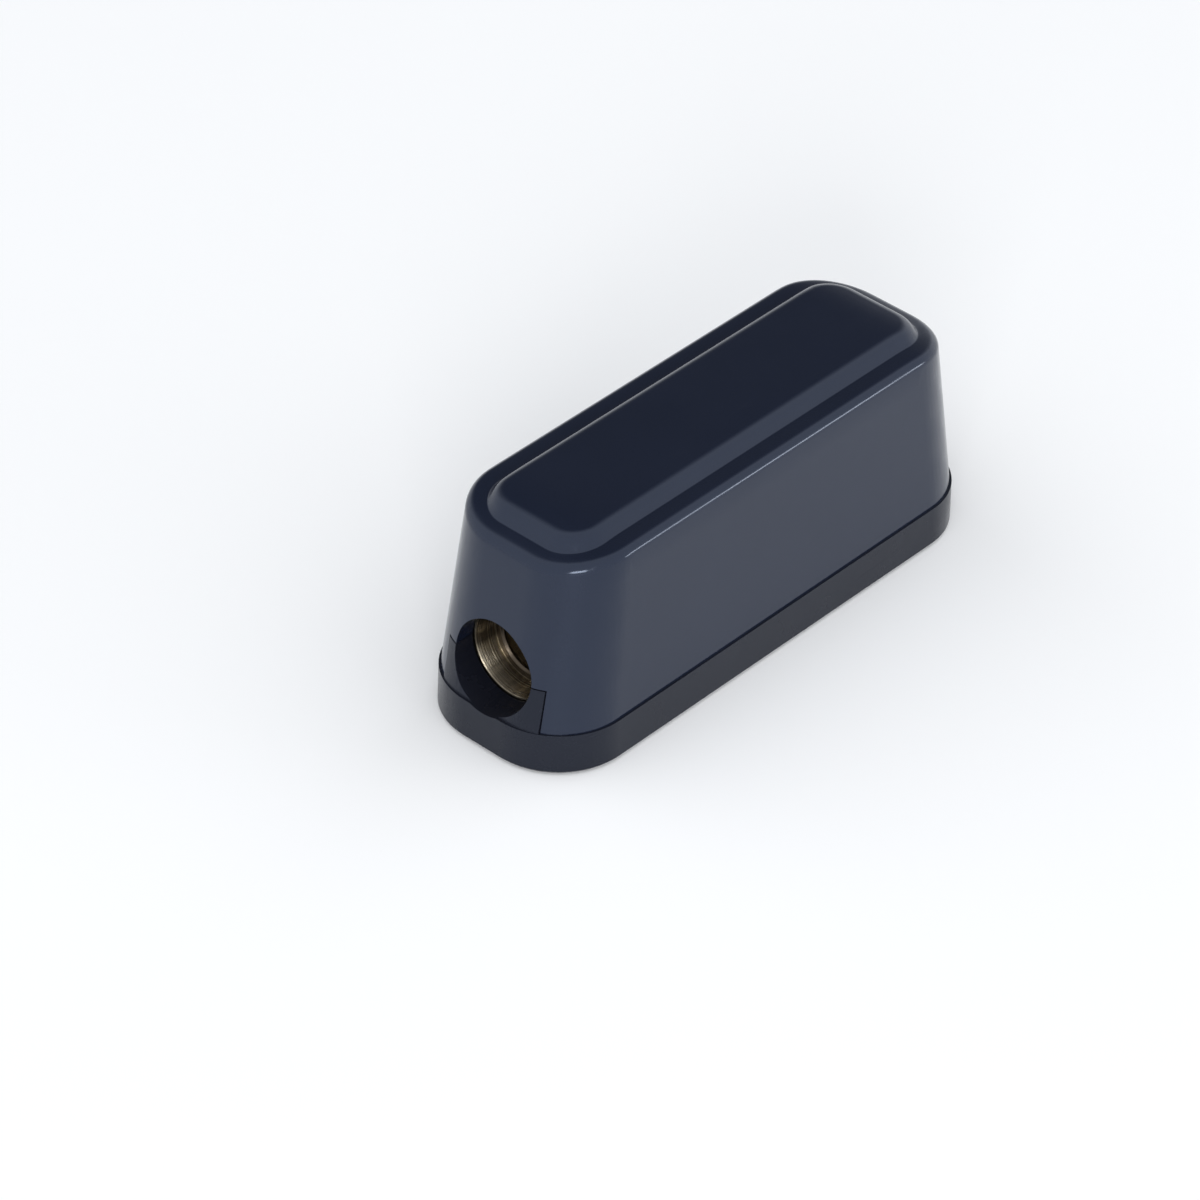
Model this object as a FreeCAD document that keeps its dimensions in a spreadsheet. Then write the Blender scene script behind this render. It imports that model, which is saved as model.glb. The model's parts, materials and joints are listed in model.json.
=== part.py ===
# Fuse holder for a small bolt-down fuse, with a push-fit cover and a cable clamp at each end.
# The origin is at the middle of the underside. X runs along the holder, Z is up, sizes are in mm.
# Pieces that come in pairs are drawn on the +X side, and the left one is turned half a turn.
import FreeCAD, Part
import Sketcher
import math
import os

from FreeCAD import Placement, Rotation, Vector

os.makedirs("parts", exist_ok=True)
doc = FreeCAD.newDocument("FuseHolder")

# Driving sizes: name, value, what it is

SIZES = [
    ("side_room", 7.1, "from the terminal's side to the base's outer wall"),
    ("end_room", 5.2, "from the terminal's outer face to the end of the base"),
    ("end_flat", 3.1, "half of the straight part of the base's ends"),
    ("base_draft", 1.0, "draft of the base's outer wall, degrees"),
    ("seam_height", 6.2, "height of the shoulder that carries the cover"),
    ("foot_chamfer", 0.6, "chamfer of the base's bottom edge"),
    ("recess_depth", 0.5, "depth of the shallow recess under the base"),
    ("recess_inset", 3.0, "rim left round that recess"),
    ("floor_height", 3.0, "top of the tray's floor"),
    ("shoulder_end", 0.5, "step from base to cover at the ends"),
    ("shoulder_side", 0.4, "step from base to cover along the sides"),
    ("corner_step", 1.0, "how much tighter the cover's corners are than the base's"),
    ("end_lean", 9.4, "lean of the cover's end walls, degrees"),
    ("side_lean", 2.6, "lean of the cover's side walls, degrees"),
    ("cover_wall", 1.7, "wall of the cover"),
    ("head_room", 4.5, "space between the raised clamp screw and the cover"),
    ("fall_length", 15.0, "length at each end over which the top falls"),
    ("top_arc", 37.0, "radius in which the top falls"),
    ("rim_bevel", 0.8, "bevel of the cover's upper edge"),
    ("panel_rise", 1.4, "height of the raised panel over the ledge"),
    ("panel_root", 1.0, "how far the raised panel reaches into the ledge"),
    ("panel_end_ledge", 9.4, "from the end of the base to the raised panel's foot"),
    ("panel_side_ledge", 5.4, "from the side of the base to the raised panel's foot"),
    ("panel_corner", 4.0, "radius of the raised panel's corners"),
    ("panel_end_lean", 65.0, "lean of the raised panel's ends, degrees"),
    ("panel_side_lean", 49.0, "lean of the raised panel's sides, degrees"),
    ("panel_round", 1.6, "radius at the foot and the edge of the raised panel"),
    ("lip_gap", 0.3, "gap between the base's lip and the cover"),
    ("lip_wall", 1.3, "thickness of the lip at its foot"),
    ("lip_height", 2.6, "height of the lip over the shoulder"),
    ("ridge_proud", 0.2, "how far the grip ridges stand out of the lip"),
    ("ridge_round", 0.6, "radius of the grip ridges"),
    ("ridge_length", 9.0, "length of each grip ridge"),
    ("ridge_place", 17.0, "distance of each grip ridge from the middle"),
    ("insulation", 2.0, "room round the bore for the cable's insulation"),
    ("entry_wall", 1.7, "plastic beside the cable entry"),
    ("entry_gap", 0.15, "gap between base and cover round the entry"),
    ("block_gap", 0.2, "gap between the terminal and the entry's plastic"),
    ("block_length", 14.4, "length of the clamp block"),
    ("block_side", 2.2, "metal beside the cable bore"),
    ("seat_rise", 2.0, "height of the terminal's seat over the floor"),
    ("tongue_room", 2.2, "gap between the tongue and the fuse's case"),
    ("tongue_thickness", 5.5, "thickness of the tongue that carries the fuse"),
    ("block_chamfer", 1.2, "chamfer of the terminal's outer edges"),
    ("tongue_round", 0.5, "radius between tongue and block"),
    ("bore_radius", 4.4, "radius of the cable bore"),
    ("bore_floor", 2.8, "metal under the cable bore"),
    ("bore_stop", 2.0, "from the block's inner face to the bore's full end"),
    ("mouth_flare", 1.7, "how much wider the bore's mouth is than the bore"),
    ("mouth_depth", 2.2, "depth of that countersink"),
    ("clamp_wall", 4.4, "metal over the cable bore"),
    ("clamp_screw_radius", 4.0, "radius of the clamp screw"),
    ("clamp_screw_length", 8.0, "length of the clamp screw"),
    ("clamp_point", 0.4, "bevel of the clamp screw's lower end"),
    ("clamp_shift", 1.0, "from the block's middle towards the fuse to the clamp screw"),
    ("clamp_socket", 4.0, "across flats of the clamp screw's socket"),
    ("clamp_socket_depth", 4.0, "depth of that socket"),
    ("fuse_pitch", 30.0, "distance between the fuse's two holes"),
    ("fuse_screw_radius", 2.5, "radius of the fuse screw's shank"),
    ("tip_gap", 0.8, "gap between the fuse screw's tip and the terminal's seat"),
    ("fuse_head_radius", 4.25, "radius of the fuse screw's head"),
    ("fuse_head_height", 5.0, "height of that head"),
    ("head_chamfer", 0.3, "chamfer of that head"),
    ("fuse_socket", 4.0, "across flats of the fuse screw's socket"),
    ("fuse_socket_depth", 2.5, "depth of that socket"),
    ("thread_gap", 0.05, "radial gap between a screw and its thread"),
    ("flat_washer_radius", 5.0, "outer radius of the flat washer"),
    ("flat_washer_thickness", 1.0, "thickness of the flat washer"),
    ("spring_washer_radius", 4.4, "outer radius of the spring washer"),
    ("spring_washer_thickness", 1.3, "thickness of the spring washer"),
    ("spring_washer_slot", 0.8, "width of the spring washer's split"),
    ("washer_gap", 0.2, "radial gap between a washer and the screw"),
    ("block_screw_inset", 1.2, "from the block's inner face to the block screw"),
    ("block_screw_radius", 2.0, "radius of the block screw's shank"),
    ("block_screw_cover", 1.6, "metal over the block screw's end"),
    ("block_screw_play", 0.3, "space over the block screw's end"),
    ("block_head_radius", 3.8, "radius of the block screw's head"),
    ("block_head_height", 2.2, "height of that head"),
    ("block_head_crown", 0.3, "bevel of that head"),
    ("block_head_gap", 0.4, "gap round the block screw's head"),
    ("seat_web", 2.1, "plastic between the terminal and the block screw's head"),
    ("cross_width", 1.0, "width of the cross slots in the block screw"),
    ("cross_reach", 4.4, "length of those cross slots"),
    ("cross_depth", 1.2, "depth of those cross slots"),
    ("screw_hole_gap", 0.2, "radial gap round a screw in plastic"),
    ("mount_pitch", 12.0, "distance between the two mounting holes"),
    ("mount_radius", 2.1, "radius of the mounting holes"),
    ("mount_sink", 1.9, "how much wider their countersinks are"),
    ("mount_boss_wall", 1.0, "plastic round those countersinks"),
    ("mount_boss_rise", 1.4, "height of the bosses round them over the floor"),
    ("cheek_inset", 2.2, "how much shorter the cheeks are than the block, at each end"),
    ("cheek_wall", 1.5, "thickness of the cheeks beside each terminal"),
    ("cheek_gap", 0.15, "gap between cheek and terminal"),
    ("cheek_rise", 4.0, "height of those cheeks over the seat"),
    ("strip_end", 5.8, "from the fuse's hole to the end of its strip"),
    ("strip_gap", 0.6, "gap between the fuse's strip and the clamp block"),
    ("link_width", 9.0, "width of the fuse's strip"),
    ("link_thickness", 1.0, "thickness of the fuse's strip"),
    ("link_corner", 2.0, "corner radius of the strip's ends"),
    ("link_hole_play", 0.2, "radial gap round the fuse screw in the strip"),
    ("neck_width", 2.4, "width of the strip's melting neck"),
    ("neck_length", 6.0, "length of that neck"),
    ("case_room", 1.8, "gap between the fuse's case and the flat washer"),
    ("case_side", 1.7, "how much wider the case is than the strip, each side"),
    ("case_half_height", 4.7, "height of each half of the case"),
    ("case_corner", 1.6, "corner radius of the case"),
    ("case_chamfer", 0.6, "chamfer of the case's outer edges"),
    ("case_wall", 1.6, "wall of the case"),
    ("case_gap", 0.05, "gap between the strip and its slot in the case"),
]

# Sizes that follow from others

DERIVED = [
    ("link_length", "fuse_pitch + 2 * strip_end", "length of the fuse's strip"),
    ("block_inner", "link_length / 2 + strip_gap", "clamp block's inner face"),
    ("block_outer", "block_inner + block_length", "terminal's outer face"),
    ("block_half_width", "bore_radius + block_side", "half width of the terminal"),
    ("base_length", "2 * (block_outer + end_room)", "length of the base at its foot"),
    ("base_width", "2 * (block_half_width + side_room)", "width of the base at its foot"),
    ("base_corner", "base_width / 2 - end_flat", "plan radius of the base's corners"),
    ("cover_length", "base_length - 2 * shoulder_end", "length of the cover at its foot"),
    ("cover_width", "base_width - 2 * shoulder_side", "width of the cover at its foot"),
    ("cover_corner", "base_corner - corner_step", "radius of the cover's corners"),
    ("lip_inset", "cover_wall + lip_gap", "from the cover's outside to the lip"),
    ("tray_inset", "lip_inset + lip_wall", "from the cover's outside to the tray"),
    ("lip_top", "seam_height + lip_height", "top of the lip"),
    ("seat_height", "floor_height + seat_rise", "height of the terminal's seat"),
    ("cable_axis", "seat_height + bore_floor + bore_radius", "height of the cable's axis"),
    ("block_top", "cable_axis + bore_radius + clamp_wall", "top of the clamp block"),
    ("tongue_top", "seat_height + tongue_thickness", "top of the tongue"),
    ("clamp_tip", "cable_axis + bore_radius", "lower end of the clamp screw at rest"),
    ("ledge_height", "clamp_tip + clamp_screw_length + head_room + cover_wall", "top's ledge"),
    ("level_half", "base_length / 2 - fall_length", "half of the level part of the top"),
    ("panel_half_length", "base_length / 2 - panel_end_ledge", "raised panel's half length"),
    ("panel_half_width", "base_width / 2 - panel_side_ledge", "raised panel's half width"),
    ("entry_radius", "bore_radius + insulation", "radius of the cable entry"),
    ("entry_half", "entry_radius + entry_wall", "half width of the entry's plastic"),
    ("entry_inner", "block_outer + block_gap", "inner face of the entry's plastic"),
    ("bore_end", "block_inner + bore_stop", "end of the full bore"),
    ("mouth_radius", "bore_radius + mouth_flare", "radius of the bore's mouth"),
    ("clamp_place", "block_inner + block_length / 2 - clamp_shift", "clamp screw, from the middle"),
    ("block_screw_place", "block_inner - block_screw_inset", "block screw, from the middle"),
    ("block_head_floor", "seat_height - seat_web", "top of the block screw's head"),
    ("block_screw_length", "seat_web + tongue_thickness - block_screw_cover", "under its head"),
    ("case_length", "fuse_pitch - 2 * (flat_washer_radius + case_room)", "length of the case"),
    ("case_width", "link_width + 2 * case_side", "width of the case"),
    ("tongue_end", "case_length / 2 + tongue_room", "tongue's inner end"),
    ("link_top", "tongue_top + link_thickness", "top of the fuse's strip"),
    ("link_middle", "tongue_top + link_thickness / 2", "middle of the fuse's strip"),
    ("flat_washer_top", "link_top + flat_washer_thickness", "top of the flat washer"),
    ("head_seat", "flat_washer_top + spring_washer_thickness", "under the fuse screw's head"),
    ("fuse_screw_length", "head_seat - seat_height - tip_gap", "under the fuse screw's head"),
    ("mount_head_radius", "mount_radius + mount_sink", "radius of the countersinks"),
    ("mount_boss_top", "floor_height + mount_boss_rise", "top of the mounting bosses"),
]

sheet = doc.addObject("Spreadsheet::Sheet", "Sizes")
for row, (alias, value, note) in enumerate(SIZES, start=1):
    sheet.set("A%d" % row, alias)
    sheet.set("B%d" % row, str(value))
    sheet.set("C%d" % row, note)
    sheet.setAlias("B%d" % row, alias)
for row, (alias, formula, note) in enumerate(DERIVED, start=len(SIZES) + 2):
    sheet.set("A%d" % row, alias)
    sheet.set("B%d" % row, "=" + formula)
    sheet.set("C%d" % row, note)
    sheet.setAlias("B%d" % row, alias)
    doc.recompute()


def size(alias):
    return float(sheet.get(alias))


# Sketch and feature helpers

def origin_plane(body, role):
    for feature in body.Origin.OriginFeatures:
        if feature.Role == role:
            return feature


def new_body(name):
    return doc.addObject("PartDesign::Body", name)


def new_sketch(body, name, role, level="0"):
    sketch = body.newObject("Sketcher::SketchObject", name)
    sketch.AttachmentSupport = [(origin_plane(body, role), "")]
    sketch.MapMode = "FlatFace"
    sketch.setExpression("AttachmentOffset.Base.z", level)
    return sketch


def bind(sketch, constraint, name, expression):
    index = sketch.addConstraint(constraint)
    sketch.renameConstraint(index, name)
    sketch.setExpression("Constraints." + name, expression)


def rounded_outline(body, name, level, length, width, corner):
    """Rounded rectangle centred on the body's Z axis."""
    sketch = new_sketch(body, name, "XY_Plane", level)
    x, y, r = 20.0, 10.0, 3.0
    up = Vector(0, 0, 1)
    sketch.addGeometry(Part.LineSegment(Vector(x, r - y, 0), Vector(x, y - r, 0)))
    sketch.addGeometry(Part.LineSegment(Vector(x - r, y, 0), Vector(r - x, y, 0)))
    sketch.addGeometry(Part.LineSegment(Vector(-x, y - r, 0), Vector(-x, r - y, 0)))
    sketch.addGeometry(Part.LineSegment(Vector(r - x, -y, 0), Vector(x - r, -y, 0)))
    for turn, cx, cy in ((0, 1, 1), (90, -1, 1), (180, -1, -1), (270, 1, -1)):
        circle = Part.Circle(Vector(cx * (x - r), cy * (y - r), 0), up, r)
        sketch.addGeometry(Part.ArcOfCircle(circle, math.radians(turn), math.radians(turn + 90)))
    for line in range(4):
        arc = line + 4
        sketch.addConstraint(Sketcher.Constraint("Tangent", line, 2, arc, 1))
        sketch.addConstraint(Sketcher.Constraint("Tangent", arc, 2, (line + 1) % 4, 1))
    for arc in (5, 6, 7):
        sketch.addConstraint(Sketcher.Constraint("Equal", 4, arc))
    sketch.addConstraint(Sketcher.Constraint("Symmetric", 1, 1, 1, 2, -2))
    sketch.addConstraint(Sketcher.Constraint("Symmetric", 0, 1, 0, 2, -1))
    sketch.addConstraint(Sketcher.Constraint("Vertical", 2))
    sketch.addConstraint(Sketcher.Constraint("Horizontal", 3))
    bind(sketch, Sketcher.Constraint("DistanceX", 2, 1, 0, 1, 2 * x), "length", length)
    bind(sketch, Sketcher.Constraint("DistanceY", 3, 1, 1, 1, 2 * y), "width", width)
    bind(sketch, Sketcher.Constraint("Radius", 4, r), "corner", corner)
    return sketch


def hexagon_sketch(body, name, level, flats):
    """Regular hexagon round the body's Z axis, for a key socket."""
    sketch = new_sketch(body, name, "XY_Plane", level)
    corners = [Vector(3 * math.cos(math.radians(60 * i)), 3 * math.sin(math.radians(60 * i)), 0)
               for i in range(6)]
    for i in range(6):
        sketch.addGeometry(Part.LineSegment(corners[i], corners[(i + 1) % 6]))
    ring = sketch.addGeometry(Part.Circle(Vector(0, 0, 0), Vector(0, 0, 1), 3), True)
    sketch.addConstraint(Sketcher.Constraint("Coincident", ring, 3, -1, 1))
    for i in range(6):
        sketch.addConstraint(Sketcher.Constraint("Coincident", i, 2, (i + 1) % 6, 1))
        sketch.addConstraint(Sketcher.Constraint("PointOnObject", i, 1, ring))
    for i in range(1, 6):
        sketch.addConstraint(Sketcher.Constraint("Equal", 0, i))
    sketch.addConstraint(Sketcher.Constraint("PointOnObject", 0, 1, -1))
    bind(sketch, Sketcher.Constraint("Radius", ring, 3), "reach", flats + " / 2 / cos(30)")
    return sketch


def polygon_sketch(body, name, role, points, level="0"):
    """Closed outline of straight edges, each corner placed by two expressions."""
    sketch = new_sketch(body, name, role, level)
    rough = [Vector(3 * math.cos(6.283 * i / len(points)), 3 * math.sin(6.283 * i / len(points)), 0)
             for i in range(len(points))]
    for i, start in enumerate(rough):
        sketch.addGeometry(Part.LineSegment(start, rough[(i + 1) % len(points)]))
    for i in range(len(points)):
        sketch.addConstraint(Sketcher.Constraint("Coincident", i, 2, (i + 1) % len(points), 1))
    for i, (across, up) in enumerate(points):
        start = rough[i]
        bind(sketch, Sketcher.Constraint("DistanceX", -1, 1, i, 1, start.x), "across%d" % i, across)
        bind(sketch, Sketcher.Constraint("DistanceY", -1, 1, i, 1, start.y), "up%d" % i, up)
    return sketch


def pad(body, sketch, length, both_ways=False, taper=None):
    feature = body.newObject("PartDesign::Pad", sketch.Name + "Pad")
    feature.Profile = sketch
    feature.setExpression("Length", length)
    if both_ways:
        feature.SideType = "Symmetric"
    if taper:
        feature.setExpression("TaperAngle", taper)
    doc.recompute()
    return feature


def pocket(body, sketch, length=None, up=False):
    """Cut down into the body, or up where asked, and through everything where no length is given."""
    before = body.Shape.Volume
    feature = body.newObject("PartDesign::Pocket", sketch.Name + "Pocket")
    feature.Profile = sketch
    if length:
        feature.setExpression("Length", length)
        feature.Reversed = up
    else:
        feature.Type = "ThroughAll"
        feature.SideType = "Symmetric"
    doc.recompute()
    if body.Shape.Volume > before - 0.01:
        raise RuntimeError(sketch.Name + " cuts nothing")
    return feature


def round_edges(body, feature, name, radius, wanted, kind="Fillet"):
    """Fillet or chamfer the edges of a feature that a test picks out."""
    names = ["Edge%d" % (i + 1) for i, edge in enumerate(feature.Shape.Edges) if wanted(edge)]
    if not names:
        raise RuntimeError(name + " finds no edge")
    result = body.newObject("PartDesign::" + kind, name)
    result.Base = (feature, names)
    result.setExpression("Radius" if kind == "Fillet" else "Size", radius)
    doc.recompute()
    return result


def middle(edge):
    return edge.valueAt((edge.FirstParameter + edge.LastParameter) / 2)


def near(a, b):
    return abs(a - b) < 0.01


def revolve(body, sketch):
    feature = body.newObject("PartDesign::Revolution", sketch.Name + "Turned")
    feature.Profile = sketch
    feature.ReferenceAxis = (sketch, ["V_Axis"])
    feature.Angle = 360
    doc.recompute()
    return feature


def box(name, x, y, z):
    """Box between two expressions on each axis."""
    solid = doc.addObject("Part::Box", name)
    for axis, side, (low, high) in (("x", "Length", x), ("y", "Width", y), ("z", "Height", z)):
        solid.setExpression(side, "(%s) - (%s)" % (high, low))
        solid.setExpression("Placement.Base." + axis, low)
    return solid


def cylinder(name, x, y, z, radius, height, turn=None):
    solid = doc.addObject("Part::Cylinder", name)
    solid.setExpression("Radius", radius)
    solid.setExpression("Height", height)
    if turn:
        solid.Placement = Placement(Vector(0, 0, 0), turn)
    for axis, expression in (("x", x), ("y", y), ("z", z)):
        solid.setExpression("Placement.Base." + axis, expression)
    return solid


def fuse(name, shapes):
    joined = doc.addObject("Part::MultiFuse", name)
    joined.Shapes = shapes
    joined.Refine = True
    return joined


def cut(name, base, tool):
    result = doc.addObject("Part::Cut", name)
    result.Base = base
    result.Tool = tool
    result.Refine = True
    return result


def common(name, first, second):
    result = doc.addObject("Part::Common", name)
    result.Base = first
    result.Tool = second
    return result


ALONG_X = Rotation(Vector(0, 1, 0), 90)
SIDES = (("right", 1), ("left", -1))
nodes = []


def keep(name, feature):
    feature.Label = name
    nodes.append(feature)


# Cover: a leaning shell with a ledge and a raised panel on top

def top_cut_sketch(body, name, level):
    """Side view of what lies above the top: level in the middle, falling in an arc at each end."""
    sketch = new_sketch(body, name, "XZ_Plane")
    half, reach, height, radius, roof = 26.0, 45.0, 30.0, 37.0, 40.0
    fall = radius - math.sqrt(radius ** 2 - (reach - half) ** 2)
    swing = math.asin((reach - half) / radius)
    out = Vector(0, 0, 1)
    sketch.addGeometry(Part.LineSegment(Vector(-half, height, 0), Vector(half, height, 0)))
    circle = Part.Circle(Vector(half, height - radius, 0), out, radius)
    sketch.addGeometry(Part.ArcOfCircle(circle, math.pi / 2 - swing, math.pi / 2))
    sketch.addGeometry(Part.LineSegment(Vector(reach, height - fall, 0), Vector(reach, roof, 0)))
    sketch.addGeometry(Part.LineSegment(Vector(reach, roof, 0), Vector(-reach, roof, 0)))
    sketch.addGeometry(Part.LineSegment(Vector(-reach, roof, 0), Vector(-reach, height - fall, 0)))
    circle = Part.Circle(Vector(-half, height - radius, 0), out, radius)
    sketch.addGeometry(Part.ArcOfCircle(circle, math.pi / 2, math.pi / 2 + swing))
    for first, end, second, start in ((0, 2, 1, 2), (5, 1, 0, 1)):
        sketch.addConstraint(Sketcher.Constraint("Tangent", first, end, second, start))
    for first, end, second, start in ((1, 1, 2, 1), (2, 2, 3, 1), (3, 2, 4, 1), (4, 2, 5, 2)):
        sketch.addConstraint(Sketcher.Constraint("Coincident", first, end, second, start))
    for line in (0, 3):
        sketch.addConstraint(Sketcher.Constraint("Symmetric", line, 1, line, 2, -2))
    for line in (2, 4):
        sketch.addConstraint(Sketcher.Constraint("Vertical", line))
    sketch.addConstraint(Sketcher.Constraint("Equal", 1, 5))
    bind(sketch, Sketcher.Constraint("DistanceX", 0, 1, 0, 2, 2 * half), "flat", "2 * Sizes.level_half")
    bind(sketch, Sketcher.Constraint("DistanceY", -1, 1, 0, 1, height), "level", level)
    bind(sketch, Sketcher.Constraint("Radius", 1, radius), "arc", "Sizes.top_arc")
    bind(sketch, Sketcher.Constraint("DistanceX", 3, 2, 3, 1, 2 * reach), "reach",
         "Sizes.base_length + 4")
    bind(sketch, Sketcher.Constraint("DistanceY", -1, 1, 3, 1, roof), "roof", level + " + 10")
    return sketch


def leaning_form(name, foot, half_length, half_width, end_lean, side_lean, level, corner):
    """Block with leaning ends and sides, rounded corners, and a top that falls towards the ends."""
    body = new_body(name)
    high = "(%s + 1)" % level
    rise = "(%s - (%s))" % (high, foot)
    ends = polygon_sketch(body, name + "Ends", "XZ_Plane", [
        ("-(%s)" % half_length, foot),
        (half_length, foot),
        ("%s - %s * tan(%s)" % (half_length, rise, end_lean), high),
        ("%s * tan(%s) - (%s)" % (rise, end_lean, half_length), high),
    ])
    pad(body, ends, "2 * (%s)" % half_width, both_ways=True)
    for way, sign in (("Back", ""), ("Front", "-")):
        wedge = polygon_sketch(body, name + way, "YZ_Plane", [
            ("%s(%s)" % (sign, half_width), foot),
            ("%s(%s + 1)" % (sign, half_width), foot),
            ("%s(%s + 1)" % (sign, half_width), high + " + 1"),
            ("%s(%s - (%s + 1) * tan(%s))" % (sign, half_width, rise, side_lean), high + " + 1"),
        ])
        pocket(body, wedge)
    block = body.Tip
    tall = 0.9 * block.Shape.BoundBox.ZLength
    round_edges(body, block, name + "Corners", corner, lambda edge: edge.BoundBox.ZLength > tall)
    pocket(body, top_cut_sketch(body, name + "Top", level))
    return body


def cover_form(name, inset):
    """The cover's outside where the inset is 0, or its hollow where the inset is the wall."""
    body = leaning_form(
        name, "Sizes.seam_height",
        "Sizes.cover_length / 2 - " + inset, "Sizes.cover_width / 2 - " + inset,
        "Sizes.end_lean", "Sizes.side_lean",
        "Sizes.ledge_height - " + inset, "Sizes.cover_corner - " + inset)
    root = "Sizes.panel_root"
    panel = leaning_form(
        name + "Panel", "Sizes.ledge_height - %s - %s" % (inset, root),
        "Sizes.panel_half_length - %s + %s * tan(Sizes.panel_end_lean)" % (inset, root),
        "Sizes.panel_half_width - %s + %s * tan(Sizes.panel_side_lean)" % (inset, root),
        "Sizes.panel_end_lean", "Sizes.panel_side_lean",
        "Sizes.ledge_height + Sizes.panel_rise - " + inset, "Sizes.panel_corner")
    joined = body.newObject("PartDesign::Boolean", name + "Joined")
    joined.Type = "Fuse"
    joined.setObjects([panel])
    doc.recompute()
    return body


def on_panel_foot(edge):
    """True for the edges where the raised panel meets the ledge."""
    point = middle(edge)
    inside = abs(point.x) < size("panel_half_length") + 2.5 and abs(point.y) < size("panel_half_width") + 1
    low, high = size("ledge_height") - size("panel_root"), size("ledge_height") + 0.1
    return inside and low < point.z < high


def on_panel_edge(edge):
    """True for the edges round the raised panel's top."""
    point = middle(edge)
    high = size("ledge_height") + 0.8 * size("panel_rise")
    return point.z > high and (abs(point.x) > size("level_half") + 1 or abs(point.y) > 3)


def on_rim(edge):
    """True for the cover's upper outer edge."""
    point = middle(edge)
    rise = point.z - size("seam_height")
    to_end = size("cover_length") / 2 - rise * math.tan(math.radians(size("end_lean"))) - abs(point.x)
    to_side = size("cover_width") / 2 - rise * math.tan(math.radians(size("side_lean"))) - abs(point.y)
    near_corner = max(to_end, to_side) < 0.4 * size("cover_corner")
    outside = to_end < 0.3 or to_side < 0.3 or near_corner
    return outside and point.z > size("ledge_height") - 4 and edge.BoundBox.ZLength < 4


def make_cover():
    outside = cover_form("CoverOutside", "0")
    shape = round_edges(outside, outside.Tip, "PanelFoot", "Sizes.panel_round", on_panel_foot)
    shape = round_edges(outside, shape, "PanelEdge", "Sizes.panel_round", on_panel_edge)
    round_edges(outside, shape, "Rim", "Sizes.rim_bevel", on_rim, "Chamfer")
    hollow = cover_form("CoverHollow", "Sizes.cover_wall")
    shell = cut("CoverShell", outside, hollow)

    collar_low = "Sizes.cable_axis + Sizes.entry_gap"
    collar_high = "Sizes.cable_axis + Sizes.entry_half"
    collars = []
    slots = []
    for side, sign in SIDES:
        inner, outer = "Sizes.entry_inner", "Sizes.base_length / 2"
        reach = (inner, outer) if sign > 0 else ("-" + outer, "-" + inner)
        across = ("-Sizes.entry_half", "Sizes.entry_half")
        blank = box("CollarBlank" + side, reach, across, (collar_low, collar_high))
        collars.append(common("Collar" + side, outside, blank))
        gap = "(Sizes.entry_half + Sizes.entry_gap)"
        slot_reach = (inner + " - 1", outer) if sign > 0 else ("-" + outer, "1 - " + inner)
        slots.append(box("CoverSlot" + side, slot_reach, ("-" + gap, gap), ("0", collar_low)))
    entry = cylinder("CoverEntry", "-Sizes.base_length / 2", "0", "Sizes.cable_axis",
                     "Sizes.entry_radius", "Sizes.base_length", ALONG_X)
    solid = fuse("CoverSolid", [shell] + collars)
    keep("cover", cut("Cover", solid, fuse("CoverOpenings", slots + [entry])))
    return outside


# Base: a tray with a lip for the cover, seats for the terminals and the lower half of each entry

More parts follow.
